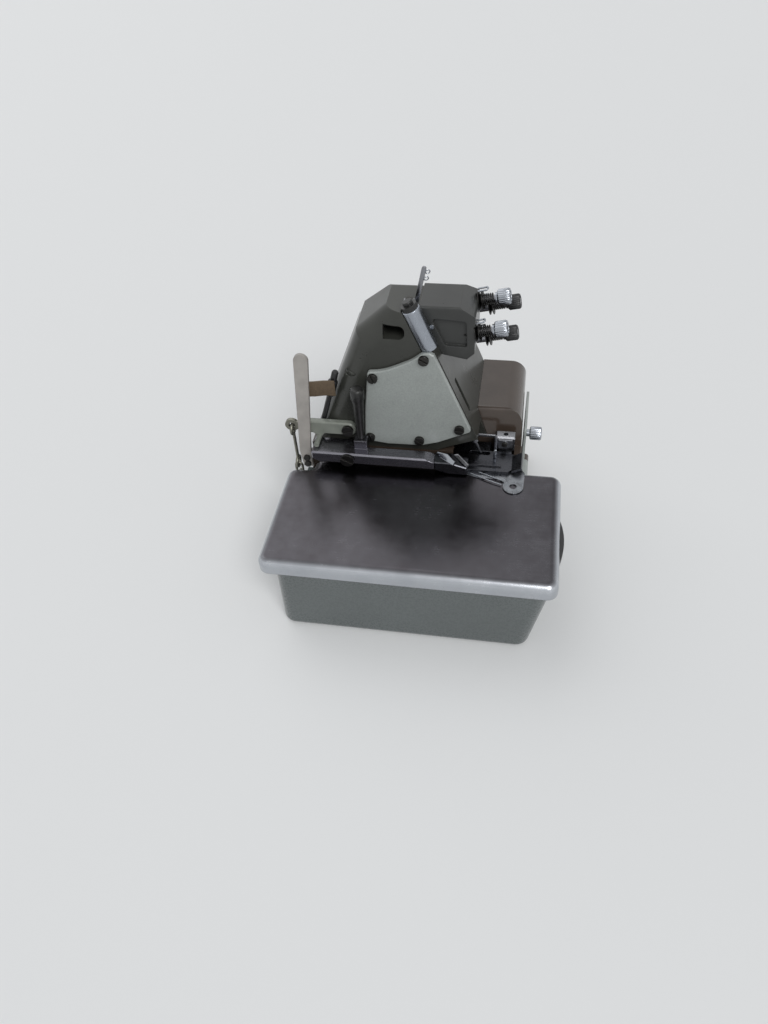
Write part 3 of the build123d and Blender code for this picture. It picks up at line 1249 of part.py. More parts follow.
# Lift lever: a flat painted bar with a steel eye, and a peg that bears on the presser bar's tail
LEVER_LEFT = 9.6
LEVER_RIGHT = 14.7
LEVER_FRONT = 55.0
LEVER_BACK = 104.0
LEVER_Z = (102.6, 115.4)
PEG_Y = 88.0
PEG_R = 2.3
PEG_Z = PRESSER_TOP + SEAT_GAP + PEG_R
EYE_Y = 112.0
EYE_Z = 109.0
EYE_R = 6.0
EYE_HOLE_R = 2.8
EYE_X = (10.6, 13.6)
with BuildPart() as lift_lever:
    with BuildSketch(Plane.YZ.offset(LEVER_LEFT)) as lever_side:
        with Locations(((LEVER_FRONT + LEVER_BACK) / 2, sum(LEVER_Z) / 2)):
            Rectangle(LEVER_BACK - LEVER_FRONT, LEVER_Z[1] - LEVER_Z[0])
        fillet(lever_side.vertices().group_by(Axis.X)[0], 6)
        with Locations((LEVER_PIVOT_Y, LEVER_PIVOT_Z)):
            Circle(PIVOT_R + RUN_GAP, mode=Mode.SUBTRACT)
    extrude(amount=LEVER_RIGHT - LEVER_LEFT)
    chamfer(lift_lever.faces().sort_by(Axis.X)[0].edges().filter_by(GeomType.LINE), 1)
    # Nose that carries the peg
    with BuildSketch(Plane.YZ.offset(LEVER_LEFT)):
        with Locations((PEG_Y, PEG_Z)):
            Circle(PEG_R)
        with BuildLine():
            Polyline(
                (PEG_Y - PEG_R, PEG_Z),
                (PEG_Y - PEG_R - 3, LEVER_Z[0] + 1.5),
                (PEG_Y + PEG_R + 3, LEVER_Z[0] + 1.5),
                (PEG_Y + PEG_R, PEG_Z),
                close=True,
            )
        make_face()
    extrude(amount=LEVER_RIGHT - LEVER_LEFT)
    with BuildSketch(Plane.YZ.offset(PRESSER_LEFT + 6)):
        with Locations((PEG_Y, PEG_Z)):
            Circle(PEG_R)
    extrude(amount=LEVER_LEFT - PRESSER_LEFT - 5)
save(lift_lever.part, "lift_lever")

with BuildPart() as lift_lever_eye:
    with BuildSketch(Plane.YZ.offset(EYE_X[0])) as eye_side:
        with Locations(((LEVER_BACK + EYE_Y) / 2, EYE_Z)):
            Rectangle(EYE_Y - LEVER_BACK, 8)
        with Locations((EYE_Y, EYE_Z)):
            Circle(EYE_R)
            Circle(EYE_HOLE_R, mode=Mode.SUBTRACT)
    extrude(amount=EYE_X[1] - EYE_X[0])
save(lift_lever_eye.part, "lift_lever_eye")

with BuildPart() as lift_lever_pivot:
    with BuildSketch(Plane.YZ.offset(LEVER_LEFT - SEAT_GAP)):
        with Locations((LEVER_PIVOT_Y, LEVER_PIVOT_Z)):
            Circle(5)
    extrude(amount=-2.6)
    with BuildSketch(Plane.YZ.offset(LEVER_LEFT - SEAT_GAP - 2)):
        with Locations((LEVER_PIVOT_Y, LEVER_PIVOT_Z)):
            Circle(PIVOT_R)
    extrude(amount=ARM_LEFT + PIVOT_DEPTH - 1 - LEVER_LEFT + SEAT_GAP + 2)
    with Locations((LEVER_LEFT - SEAT_GAP - 2.6, LEVER_PIVOT_Y, LEVER_PIVOT_Z)):
        Box(2.2, 11, 1.2, rotation=(-20, 0, 0), mode=Mode.SUBTRACT)
save(lift_lever_pivot.part, "lift_lever_pivot")

# Lift hook and chain, hanging from the eye
WIRE_R = 1.4
RING_R = 4.8
HOOK_TOP_Z = EYE_Z - RING_R
HOOK_FOOT_Z = 66.0
hook_x = sum(EYE_X) / 2
with BuildPart() as lift_hook:
    for ring_z in (HOOK_TOP_Z, HOOK_FOOT_Z):
        with BuildSketch(Plane.XY.offset(ring_z)):
            with Locations((hook_x + RING_R, EYE_Y)):
                Circle(WIRE_R)
        revolve(axis=Axis((hook_x, EYE_Y, ring_z), (0, 1, 0)))
    with BuildSketch(Plane.XY.offset(HOOK_FOOT_Z + RING_R)):
        with Locations((hook_x, EYE_Y)):
            Circle(WIRE_R)
    extrude(amount=HOOK_TOP_Z - HOOK_FOOT_Z - 2 * RING_R)
save(lift_hook.part, "lift_hook")

LINK_WIRE_R = 1.1
LINK_REACH = 12.0
LINK_HALF_WIDTH = 3.0
LINK_COUNT = 5
chain_top = HOOK_FOOT_Z - RING_R + WIRE_R + LINK_WIRE_R + SEAT_GAP
link_pitch = LINK_REACH - 2 * LINK_WIRE_R - SEAT_GAP
with BuildPart() as lift_chain:
    for link in range(LINK_COUNT):
        top_z = chain_top - link * link_pitch
        low_z = top_z - LINK_REACH
        across = (0, 1, 0) if link % 2 == 0 else (1, 0, 0)
        square = (1, 0, 0) if link % 2 == 0 else (0, 1, 0)
        link_plane = Plane(origin=(hook_x, EYE_Y, (top_z + low_z) / 2), x_dir=across, z_dir=square)
        half_run = LINK_REACH / 2 - LINK_HALF_WIDTH
        for side in (-1, 1):
            with BuildSketch(Plane.XY.offset(link_plane.origin.Z - half_run)):
                with Locations((hook_x + side * LINK_HALF_WIDTH * across[0],
                                EYE_Y + side * LINK_HALF_WIDTH * across[1])):
                    Circle(LINK_WIRE_R)
            extrude(amount=2 * half_run)
        for end in (-1, 1):
            end_z = link_plane.origin.Z + end * half_run
            with BuildSketch(Plane.XY.offset(end_z)):
                with Locations((hook_x + LINK_HALF_WIDTH * across[0], EYE_Y + LINK_HALF_WIDTH * across[1])):
                    Circle(LINK_WIRE_R)
            turn = (0, -end, 0) if across[0] else (end, 0, 0)
            revolve(axis=Axis((hook_x, EYE_Y, end_z), turn), revolution_arc=180)
save(lift_chain.part, "lift_chain")

# Guide bar standing on the lug, its leather strap, and the tape guide rod on the arm
GUIDE_BAR_X = (6.2, LUG_LEFT)
GUIDE_BAR_HALF = 6.0
GUIDE_BAR_HEAD = (94.0, 180.0)
with BuildPart() as guide_bar:
    with BuildSketch(Plane.YZ.offset(GUIDE_BAR_X[0])):
        with BuildLine():
            foot_y, foot_z = GUIDE_BAR_FOOT
            head_y, head_z = GUIDE_BAR_HEAD
            Polyline(
                (head_y - GUIDE_BAR_HALF, head_z),
                (foot_y - 4, 84),
                (foot_y - 4, foot_z),
                (foot_y + 4, foot_z),
                (foot_y + GUIDE_BAR_HALF, 84),
                (head_y + GUIDE_BAR_HALF, head_z),
            )
            ThreePointArc((head_y + GUIDE_BAR_HALF, head_z), (head_y, head_z + GUIDE_BAR_HALF),
                          (head_y - GUIDE_BAR_HALF, head_z))
        make_face()
        with Locations(*[(foot_y, z) for z in GUIDE_SCREW_Z]):
            Circle(SMALL_SCREW_R + PIN_GAP, mode=Mode.SUBTRACT)
    extrude(amount=GUIDE_BAR_X[1] - GUIDE_BAR_X[0])
save(guide_bar.part, "guide_bar")

with BuildPart() as guide_bar_screws:
    for z in GUIDE_SCREW_Z:
        with BuildSketch(Plane.YZ.offset(GUIDE_BAR_X[0])):
            with Locations((foot_y, z)):
                Circle(3)
        extrude(amount=-2)
        with BuildSketch(Plane.YZ.offset(GUIDE_BAR_X[0])):
            with Locations((foot_y, z)):
                Circle(SMALL_SCREW_R)
        extrude(amount=GUIDE_BAR_X[1] - GUIDE_BAR_X[0] + SCREW_REACH - 0.5)
save(guide_bar_screws.part, "guide_bar_screws")

with BuildPart() as guide_strap:
    with BuildSketch(Plane.YZ.offset(GUIDE_BAR_X[1])) as strap_side:
        with BuildLine():
            Polyline((101, 144), (101, 156), (80, 158), (74, 152), (75, 144), (84, 142), close=True)
        make_face()
        fillet(strap_side.vertices(), 1.5)
    extrude(amount=1.4)
save(guide_strap.part, "guide_strap")

(rod_low_y, rod_low_z), (rod_high_y, rod_high_z) = GUIDE_ROD_ENDS
rod_lean = atan2(rod_high_y - rod_low_y, rod_high_z - rod_low_z)
rod_run = (rod_high_z - rod_low_z) / cos(rod_lean)
rod_dir = (0, sin(rod_lean), cos(rod_lean))
with BuildPart() as guide_rod:
    with BuildSketch(Plane(origin=(GUIDE_ROD_X, rod_low_y, rod_low_z), x_dir=(1, 0, 0), z_dir=rod_dir)):
        Circle(GUIDE_ROD_R)
    extrude(amount=rod_run)
    with BuildSketch(Plane(
        origin=(GUIDE_ROD_X, rod_low_y + rod_dir[1] * 31, rod_low_z + rod_dir[2] * 31),
        x_dir=(1, 0, 0),
        z_dir=rod_dir,
    )):
        Circle(4.3)
    extrude(amount=15)
    for end_y, end_z in GUIDE_ROD_ENDS:
        with Locations((GUIDE_ROD_X, end_y, end_z)):
            Sphere(GUIDE_ROD_R)
        with BuildSketch(Plane.XZ.offset(-end_y)):
            with Locations((GUIDE_ROD_X, end_z)):
                Circle(GUIDE_ROD_R)
        extrude(amount=GUIDE_ROD_REACH - 1)
save(guide_rod.part, "guide_rod")

# Thread strip standing on the arm's top
STRIP_X = (28.8, 36.0)
STRIP_THICK = 1.2
STRIP_TOP_Z = ARM_TOP + 32
with BuildPart() as thread_strip:
    with BuildSketch(Plane.YZ.offset(STRIP_X[0])):
        with BuildLine():
            Polyline(
                (13, ARM_TOP),
                (2.4, ARM_TOP),
                (-4.6, STRIP_TOP_Z),
                (-4.6 + STRIP_THICK, STRIP_TOP_Z),
                (3.4, ARM_TOP + STRIP_THICK),
                (13, ARM_TOP + STRIP_THICK),
                close=True,
            )
        make_face()
    extrude(amount=STRIP_X[1] - STRIP_X[0])
    with BuildSketch(Plane.XZ.offset(-20)):
        with Locations((30.6, STRIP_TOP_Z - 5), (34.2, STRIP_TOP_Z - 5), (32.4, STRIP_TOP_Z - 14)):
            Circle(1.1)
    extrude(amount=40, mode=Mode.SUBTRACT)
    with BuildSketch(Plane.XY.offset(ARM_TOP)):
        with Locations(STRIP_SCREW):
            Circle(SMALL_SCREW_R + PIN_GAP)
    extrude(amount=STRIP_THICK, mode=Mode.SUBTRACT)
save(thread_strip.part, "thread_strip")

with BuildPart() as thread_strip_screw:
    with BuildSketch(Plane.XY.offset(ARM_TOP + STRIP_THICK)):
        with Locations(STRIP_SCREW):
            Circle(3)
    extrude(amount=1.8)
    with BuildSketch(Plane.XY.offset(ARM_TOP + STRIP_THICK)):
        with Locations(STRIP_SCREW):
            Circle(SMALL_SCREW_R)
    extrude(amount=-SCREW_REACH)
save(thread_strip_screw.part, "thread_strip_screw")

# Front cover on its hinge, with the knob that pulls it open
COVER_BACK_Y = FRAME_FRONT - SEAT_GAP
COVER_FRONT_Y = COVER_BACK_Y - 2.2
with BuildPart() as front_cover:
    span_box(8, 100, COVER_FRONT_Y, COVER_BACK_Y, HINGE_Z + HINGE_R + SEAT_GAP + 0.5, 75)
    span_box(42, 100, COVER_FRONT_Y, COVER_BACK_Y, 60, 95)
    fillet(front_cover.edges().filter_by(Axis.Y).group_by(Axis.Z)[-1], 6)
    barrel_left = KNUCKLES[0][1] + SEAT_GAP
    barrel_run = KNUCKLES[1][0] - SEAT_GAP - barrel_left
    span_box(barrel_left, barrel_left + barrel_run, COVER_FRONT_Y, COVER_BACK_Y - 0.4, HINGE_Z, 20)
    with BuildSketch(Plane.YZ.offset(barrel_left)):
        with Locations((HINGE_Y, HINGE_Z)):
            Circle(HINGE_R)
    extrude(amount=barrel_run)
    with BuildSketch(Plane.YZ.offset(barrel_left)):
        with Locations((HINGE_Y, HINGE_Z)):
            Circle(HINGE_PIN_R + RUN_GAP)
    extrude(amount=barrel_run, mode=Mode.SUBTRACT)
save(front_cover.part, "front_cover")

with BuildPart() as front_cover_pin:
    with BuildSketch(Plane.YZ.offset(KNUCKLES[0][0])):
        with Locations((HINGE_Y, HINGE_Z)):
            Circle(HINGE_PIN_R)
    extrude(amount=KNUCKLES[1][1] - KNUCKLES[0][0])
save(front_cover_pin.part, "front_cover_pin")

KNOB_X = 50.0
KNOB_Z = 85.0
with BuildPart() as front_cover_knob:
    for lift, radius, run in [(0, 3.5, 2.4), (2.4, 6.0, 3.0), (5.4, 5.2, 1.0), (6.4, 6.0, 2.0)]:
        with BuildSketch(Plane.XZ.offset(-COVER_FRONT_Y + lift)):
            with Locations((KNOB_X, KNOB_Z)):
                Circle(radius)
        extrude(amount=run)
save(front_cover_knob.part, "front_cover_knob")

# Main shaft with its eccentrics, its two bushes, the flange and the handwheel
SHAFT_LEFT = 14.8
SHAFT_RIGHT = 149.0
ECCENTRICS = [(30.0, 38.0, 11.0, 0), (54.0, 64.0, 12.5, 120), (80.0, 88.0, 11.0, 240)]
ECCENTRIC_THROW = 5.0
shaft_axis = Axis((0, SHAFT_Y, SHAFT_Z), (1, 0, 0))
with BuildPart() as main_shaft:
    with BuildSketch(Plane.YZ.offset(SHAFT_LEFT)):
        with Locations((SHAFT_Y, SHAFT_Z)):
            Circle(SHAFT_R)
    extrude(amount=SHAFT_RIGHT - SHAFT_LEFT)
    chamfer(main_shaft.edges().filter_by(GeomType.CIRCLE), 0.8)
    for x0, x1, radius, turn in ECCENTRICS:
        with BuildSketch(Plane.YZ.offset(x0)):
            with Locations((SHAFT_Y + ECCENTRIC_THROW * cos(radians(turn)),
                            SHAFT_Z + ECCENTRIC_THROW * sin(radians(turn)))):
                Circle(radius)
        extrude(amount=x1 - x0)
save(main_shaft.part, "main_shaft")

with BuildPart() as shaft_bushes:
    for x0, x1 in [(ARM_LEFT - 1, CHAMBER_LEFT), (CHAMBER_RIGHT, BODY_RIGHT)]:
        with BuildSketch(Plane.YZ.offset(x0)):
            with Locations((SHAFT_Y, SHAFT_Z)):
                Circle(BUSH_R - RUN_GAP)
                Circle(SHAFT_R + RUN_GAP, mode=Mode.SUBTRACT)
        extrude(amount=x1 - x0)
save(shaft_bushes.part, "shaft_bushes")

with BuildPart() as end_flange:
    with BuildSketch(Plane.YZ.offset(BODY_RIGHT)):
        with Locations((SHAFT_Y, SHAFT_Z)):
            Circle(FLANGE_R)
            Circle(SHAFT_R + 1, mode=Mode.SUBTRACT)
            with PolarLocations(FLANGE_SCREW_RING, 4, start_angle=45):
                Circle(SMALL_SCREW_R + PIN_GAP, mode=Mode.SUBTRACT)
    extrude(amount=FLANGE_THICK)
save(end_flange.part, "end_flange")

with BuildPart() as end_flange_screws:
    with BuildSketch(Plane.YZ.offset(BODY_RIGHT + FLANGE_THICK)):
        with Locations((SHAFT_Y, SHAFT_Z)):
            with PolarLocations(FLANGE_SCREW_RING, 4, start_angle=45):
                Circle(2.8)
    extrude(amount=1.2)
    with BuildSketch(Plane.YZ.offset(BODY_RIGHT + FLANGE_THICK)):
        with Locations((SHAFT_Y, SHAFT_Z)):
            with PolarLocations(FLANGE_SCREW_RING, 4, start_angle=45):
                Circle(SMALL_SCREW_R)
    extrude(amount=-(FLANGE_THICK + SCREW_REACH - 0.5))
save(end_flange_screws.part, "end_flange_screws")

WHEEL_HUB_R = 14.0
WHEEL_RIM_R = 39.0
GROOVE_DEPTH = 9.0
wheel_mid = WHEEL_LEFT + WHEEL_WIDTH / 2
with BuildPart() as handwheel:
    with BuildSketch() as wheel_section:
        with BuildLine():
            Polyline(
                (WHEEL_LEFT, SHAFT_R + PIN_GAP),
                (WHEEL_LEFT, WHEEL_HUB_R),
                (wheel_mid - 3, WHEEL_HUB_R + 1),
                (wheel_mid - 3, WHEEL_RIM_R - 1),
                (WHEEL_LEFT, WHEEL_RIM_R),
                (WHEEL_LEFT, WHEEL_R),
                (wheel_mid - 6, WHEEL_R),
                (wheel_mid - 2, WHEEL_R - GROOVE_DEPTH),
                (wheel_mid + 2, WHEEL_R - GROOVE_DEPTH),
                (wheel_mid + 6, WHEEL_R),
                (WHEEL_LEFT + WHEEL_WIDTH, WHEEL_R),
                (WHEEL_LEFT + WHEEL_WIDTH, WHEEL_RIM_R),
                (wheel_mid + 3, WHEEL_RIM_R - 1),
                (wheel_mid + 3, WHEEL_HUB_R + 1),
                (WHEEL_LEFT + WHEEL_WIDTH, WHEEL_HUB_R),
                (WHEEL_LEFT + WHEEL_WIDTH, SHAFT_R + PIN_GAP),
                close=True,
            )
        make_face()
    revolve(axis=Axis.X)
    with BuildSketch(Plane.YZ.offset(WHEEL_LEFT)):
        with PolarLocations((WHEEL_HUB_R + WHEEL_RIM_R) / 2, 4):
            Circle(7)
    extrude(amount=WHEEL_WIDTH, mode=Mode.SUBTRACT)
save(handwheel.part.moved(Location((0, SHAFT_Y, SHAFT_Z))), "handwheel")

# Rear cover over the crank chamber, and its screws
with BuildPart() as rear_cover:
    span_box(25, 107, FRAME_BACK, FRAME_BACK + 2, 11, 77)
    fillet(rear_cover.edges().filter_by(Axis.Y), 5)
    with BuildSketch(Plane.XZ.offset(-FRAME_BACK - 2)):
        with Locations(*REAR_SCREWS):
            Circle(SMALL_SCREW_R + PIN_GAP)
    extrude(amount=2, mode=Mode.SUBTRACT)
save(rear_cover.part, "rear_cover")

with BuildPart() as rear_cover_screws:
    with BuildSketch(Plane.XZ.offset(-FRAME_BACK - 2)):
        with Locations(*REAR_SCREWS):
            Circle(3)
    extrude(amount=-1.8)
    with BuildSketch(Plane.XZ.offset(-FRAME_BACK - 2)):
        with Locations(*REAR_SCREWS):
            Circle(SMALL_SCREW_R)
    extrude(amount=2 + SCREW_REACH - 0.5)
save(rear_cover_screws.part, "rear_cover_screws")

# Oil plug on the arm's shoulder
with BuildPart() as oil_plug:
    with BuildSketch(oil_plane.offset(SEAT_GAP)):
        Circle(OIL_NECK_R + 2.5)
    extrude(amount=5)
    with BuildSketch(oil_plane.offset(SEAT_GAP)):
        Circle(OIL_NECK_R)
    extrude(amount=-OIL_NECK_DEPTH + 1)
    fillet(oil_plug.edges().filter_by(GeomType.CIRCLE).sort_by(Axis.Z)[-1:], 1.2)
save(oil_plug.part, "oil_plug")
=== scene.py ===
# %% [markdown]
# The machine head arrives as one mesh for each solid piece, already in metres and already in place. It is
# loaded first and never moved, so that every later piece can be set by the same measures.

# %% Load the solid machine
import json
from math import atan2, cos, pi, radians, sin

import bmesh
import bpy
from mathutils import Matrix, Vector


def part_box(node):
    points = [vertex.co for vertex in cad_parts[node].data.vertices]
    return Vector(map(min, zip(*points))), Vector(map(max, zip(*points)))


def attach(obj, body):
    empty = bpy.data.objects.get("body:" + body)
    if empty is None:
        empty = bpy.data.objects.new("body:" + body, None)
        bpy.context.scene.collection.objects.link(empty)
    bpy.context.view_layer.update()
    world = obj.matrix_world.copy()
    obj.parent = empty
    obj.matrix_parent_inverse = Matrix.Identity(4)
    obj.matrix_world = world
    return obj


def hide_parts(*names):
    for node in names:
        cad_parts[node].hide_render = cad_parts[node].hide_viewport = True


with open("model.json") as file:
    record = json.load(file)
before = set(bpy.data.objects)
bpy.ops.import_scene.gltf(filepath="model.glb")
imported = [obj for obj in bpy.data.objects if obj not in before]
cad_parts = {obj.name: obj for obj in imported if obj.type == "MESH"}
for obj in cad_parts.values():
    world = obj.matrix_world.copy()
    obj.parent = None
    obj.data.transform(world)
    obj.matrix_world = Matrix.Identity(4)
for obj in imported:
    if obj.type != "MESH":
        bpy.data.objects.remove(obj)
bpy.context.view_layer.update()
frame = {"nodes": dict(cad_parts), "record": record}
nodes = frame["nodes"]

# %% [markdown]
# The photograph looks down on the machine from its left. A camera is only a place, three angles and a
# lens, and all of them follow from straight edges in the picture. Writing the angles out as pitch, yaw
# and roll keeps them readable, and the matrix is then built from three directions.

# %% Camera at the photograph's angle
CAMERA_PLACE = Vector((-0.5016, -0.0786, 0.5506))
CAMERA_PITCH = radians(45.88)
CAMERA_YAW = radians(12.62)
CAMERA_ROLL = radians(4.39)
CAMERA_LENS = 28.08
CAMERA_SENSOR = 36.0

level_forward = Vector((cos(CAMERA_YAW), sin(CAMERA_YAW), 0))
level_right = Vector((sin(CAMERA_YAW), -cos(CAMERA_YAW), 0))
straight_down = Vector((0, 0, -1))
forward = level_forward * cos(CAMERA_PITCH) + straight_down * sin(CAMERA_PITCH)
tipped_down = straight_down * cos(CAMERA_PITCH) - level_forward * sin(CAMERA_PITCH)
right = level_right * cos(CAMERA_ROLL) + tipped_down * sin(CAMERA_ROLL)
down = tipped_down * cos(CAMERA_ROLL) - level_right * sin(CAMERA_ROLL)
facing = Matrix((right, -down, -forward)).transposed().to_4x4()

camera_data = bpy.data.cameras.new("camera")
camera_data.sensor_width = CAMERA_SENSOR
camera_data.lens = CAMERA_LENS
camera_data.clip_start = 0.01
camera = bpy.data.objects.new("camera", camera_data)
bpy.context.scene.collection.objects.link(camera)
camera.matrix_world = Matrix.Translation(CAMERA_PLACE) @ facing
bpy.context.scene.camera = camera
bpy.context.scene.view_settings.view_transform = "Standard"
print("camera at", tuple(round(v, 3) for v in CAMERA_PLACE))

# %% [markdown]
# Every finish is built from the same few nodes. Colours are written as the sRGB hex values that a paint
# chart gives, so they are turned to linear light once, here. One small function adds a node with its
# settings and its links, which keeps each recipe down to the choices that matter.

# %% Colour and node helpers
MM = 0.001
COAT_ROUGHNESS = 0.10
EDGE_SAMPLES = 5
# Sockets of the mix node when it mixes colours, where several share a name
MIX_FACTOR = 0
MIX_FIRST = 6
MIX_SECOND = 7
MIX_COLOUR = 2


def linear(hex_colour):
    """Turns an sRGB hex colour to the linear values that the shader works in."""
    channels = [int(hex_colour[i:i + 2], 16) / 255 for i in (1, 3, 5)]
    return [c / 12.92 if c <= 0.04045 else ((c + 0.055) / 1.055) ** 2.4 for c in channels] + [1.0]


def shade(colour, share):
    """A colour made lighter or darker by a share, kept within what the shader takes."""
    return [min(1.0, c * share) for c in colour[:3]] + [1.0]


def put(tree, kind, inputs=None, **settings):
    """Adds a node, sets its properties, and gives each input a value or a link."""
    node = tree.nodes.new(kind)
    for name, value in settings.items():
        setattr(node, name, value)
    for name, value in (inputs or {}).items():
        if isinstance(value, bpy.types.NodeSocket):
            tree.links.new(value, node.inputs[name])
        else:
            node.inputs[name].default_value = value
    return node


def object_place(tree):
    """The point being shaded, in the machine's own measures."""
    return put(tree, "ShaderNodeTexCoord").outputs["Object"]


def noise(tree, place, size_mm, detail=3.0, roughness=0.6):
    """Noise whose features are about the size given."""
    return put(tree, "ShaderNodeTexNoise", {"Vector": place, "Scale": 1 / (size_mm * MM), "Detail": detail,
                                            "Roughness": roughness}).outputs["Fac"]


def stretched(tree, place, scale):
    """A place squeezed or drawn out along the axes, for patterns that run in one direction."""
    return put(tree, "ShaderNodeMapping", {"Vector": place, "Scale": scale}).outputs["Vector"]


def mingle(tree, share, first, second):
    """Mixes two patterns, by the share of the second."""
    return put(tree, "ShaderNodeMix", {"Factor": share, "A": first, "B": second}).outputs["Result"]


def blend(tree, factor, first, second):
    """Mixes two colours by a pattern."""
    return put(tree, "ShaderNodeMix", {MIX_FACTOR: factor, MIX_FIRST: first, MIX_SECOND: second},
               data_type="RGBA").outputs[MIX_COLOUR]


def two_tones(tree, factor, dark, light, low=0.3, high=0.7):
    """A colour ramp from one tone to another over part of a pattern's range."""
    ramp = put(tree, "ShaderNodeValToRGB", {"Fac": factor})
    ramp.color_ramp.elements[0].position = low
    ramp.color_ramp.elements[0].color = dark
    ramp.color_ramp.elements[1].position = high
    ramp.color_ramp.elements[1].color = light
    return ramp.outputs["Color"]


def mask(tree, value, from_low, from_high):
    """Maps a value to 0 at one measure and 1 at another."""
    return put(tree, "ShaderNodeMapRange", {"Value": value, "From Min": from_low,
                                            "From Max": from_high}).outputs["Result"]


def spread(tree, value, low, high):
    """Maps the middle of a pattern's range to a range of roughness."""
    return put(tree, "ShaderNodeMapRange", {"Value": value, "From Min": 0.25, "From Max": 0.75,
                                            "To Min": low, "To Max": high}).outputs["Result"]


def fresh_material(name, metallic, roughness, coat=0.0, specular=0.5):
    """A new material with its shader's constant sockets set; returns it with its tree and shader."""
    material = bpy.data.materials.new(name)
    material.use_nodes = True
    tree = material.node_tree
    shader = tree.nodes["Principled BSDF"]
    shader.inputs["Metallic"].default_value = metallic
    shader.inputs["Roughness"].default_value = roughness
    shader.inputs["Specular IOR Level"].default_value = specular
    shader.inputs["Coat Weight"].default_value = coat
    shader.inputs["Coat Roughness"].default_value = COAT_ROUGHNESS
    return material, tree, shader


def wire_up(tree, shader, colour, gloss, height, strength, depth_mm, edge_mm):
    """Links colour and gloss, and bumps the surface over edges that are rounded a little."""
    soft_edge = put(tree, "ShaderNodeBevel", {"Radius": edge_mm * MM}, samples=EDGE_SAMPLES)
    bump = put(tree, "ShaderNodeBump", {"Strength": strength, "Distance": depth_mm * MM, "Height": height,
                                        "Normal": soft_edge.outputs["Normal"]})
    tree.links.new(colour, shader.inputs["Base Color"])
    tree.links.new(gloss, shader.inputs["Roughness"])
    tree.links.new(bump.outputs["Normal"], shader.inputs["Normal"])


print("white in linear light:", linear("#ffffff")[0])

# %% [markdown]
# Sprayed enamel on cast iron is never one flat colour: it pools, it dulls where hands and oil touch it,
# and its skin has the fine ripple called orange peel. A broad noise varies the colour and the gloss, a
# fine one ripples the surface, and a rounded normal softens the hard drawing edges as paint does.

# %% Enamel
PEEL_MM = 1.4
PEEL_STRENGTH = 0.10
POOLING = 0.14
ENAMEL_SPECULAR = 0.35


def enamel(name, hex_colour, roughness, patch_mm=26.0, coat=0.15):
    """Sprayed enamel with pooled colour, uneven gloss and orange peel."""
    material, tree, shader = fresh_material(name, 0.0, roughness, coat, ENAMEL_SPECULAR)
    place = object_place(tree)
    patches = noise(tree, place, patch_mm, detail=5.0)
    peel = noise(tree, place, PEEL_MM, detail=2.0)
    colour = linear(hex_colour)
    tones = two_tones(tree, patches, shade(colour, 1 - POOLING), shade(colour, 1 + POOLING), 0.28, 0.72)
    gloss = spread(tree, patches, roughness - 0.05, roughness + 0.10)
    wire_up(tree, shader, tones, gloss, peel, PEEL_STRENGTH, depth_mm=0.3, edge_mm=0.9)
    return material


finishes = {
    # The arm is given a darker colour than the lever's grey-green of the same casting paint: painted shade
    # for the faces turned from the light
    "arm_paint": enamel("arm_enamel_painted_shade", "#363733", 0.28),
    "block_paint": enamel("block_enamel", "#373837", 0.30),
    "frame_paint": enamel("warm_brown_enamel", "#40362f", 0.18, coat=0.45),
    "lever_paint": enamel("lever_enamel", "#7b7f77", 0.34, patch_mm=9.0),
    "bar_paint": enamel("light_bar_enamel", "#9c9893", 0.38, patch_mm=14.0),
}
print("enamels:", len(finishes))

# %% [markdown]
# The side cover was sprayed a paler grey over a skin that wrinkled as it dried. Wrinkle paint is a net of
# short ridges a millimetre or so apart: a noise bent by another noise gives them, and they carry small
# pale and dark flecks. The bed box has the same kind of paint in a darker grey, with more gloss.

# %% Wrinkle enamel
WANDER_MM = 4
PUSH_MM = 1.2
CLOUD_MM = 45.0
RIDGE_SHARE = 0.62


def wrinkle(name, hex_colour, roughness, fleck_mm, fleck, ridge, coat):
    """Wrinkled enamel: flecked colour, fine ridges, and broad cloudy wear."""
    material, tree, shader = fresh_material(name, 0.0, roughness, coat)
    place = object_place(tree)
    wander = put(tree, "ShaderNodeTexNoise", {"Vector": place, "Scale": 1 / (WANDER_MM * MM),
                                              "Detail": 2.0}).outputs["Color"]
    push = put(tree, "ShaderNodeVectorMath", {0: wander, 1: (PUSH_MM * MM,) * 3},
               operation="MULTIPLY").outputs["Vector"]
    bent = put(tree, "ShaderNodeVectorMath", {0: place, 1: push}, operation="ADD").outputs["Vector"]
    ridges = noise(tree, bent, fleck_mm, detail=4.0, roughness=0.7)
    clouds = noise(tree, place, CLOUD_MM, detail=4.0)
    both = mingle(tree, RIDGE_SHARE, clouds, ridges)
    colour = linear(hex_colour)
    tones = two_tones(tree, both, shade(colour, 1 - fleck), shade(colour, 1 + fleck), 0.34, 0.66)
    gloss = spread(tree, ridges, roughness - 0.06, roughness + 0.10)
    wire_up(tree, shader, tones, gloss, ridges, ridge, depth_mm=0.25, edge_mm=1.0)
    return material


finishes["cover_paint"] = wrinkle("pale_wrinkle_enamel", "#959a97", 0.36, fleck_mm=1.3, fleck=0.16,
                                  ridge=0.22, coat=0.20)
finishes["bed_paint"] = wrinkle("grey_wrinkle_enamel", "#525858", 0.26, fleck_mm=1.6, fleck=0.12,
                                ridge=0.30, coat=0.40)
print("wrinkle enamels: cover and bed box")

# %% [markdown]
# Steel shows how it was finished. Small parts were ground or turned, which leaves lines in one direction,
# and years of thread and oil leave it cloudy. A noise drawn out along one direction gives the lines, and
# a broad one gives the clouds.

# %% Ground, turned and plated metal
LINE_SHARE = 0.55
LINE_STRENGTH = 0.05


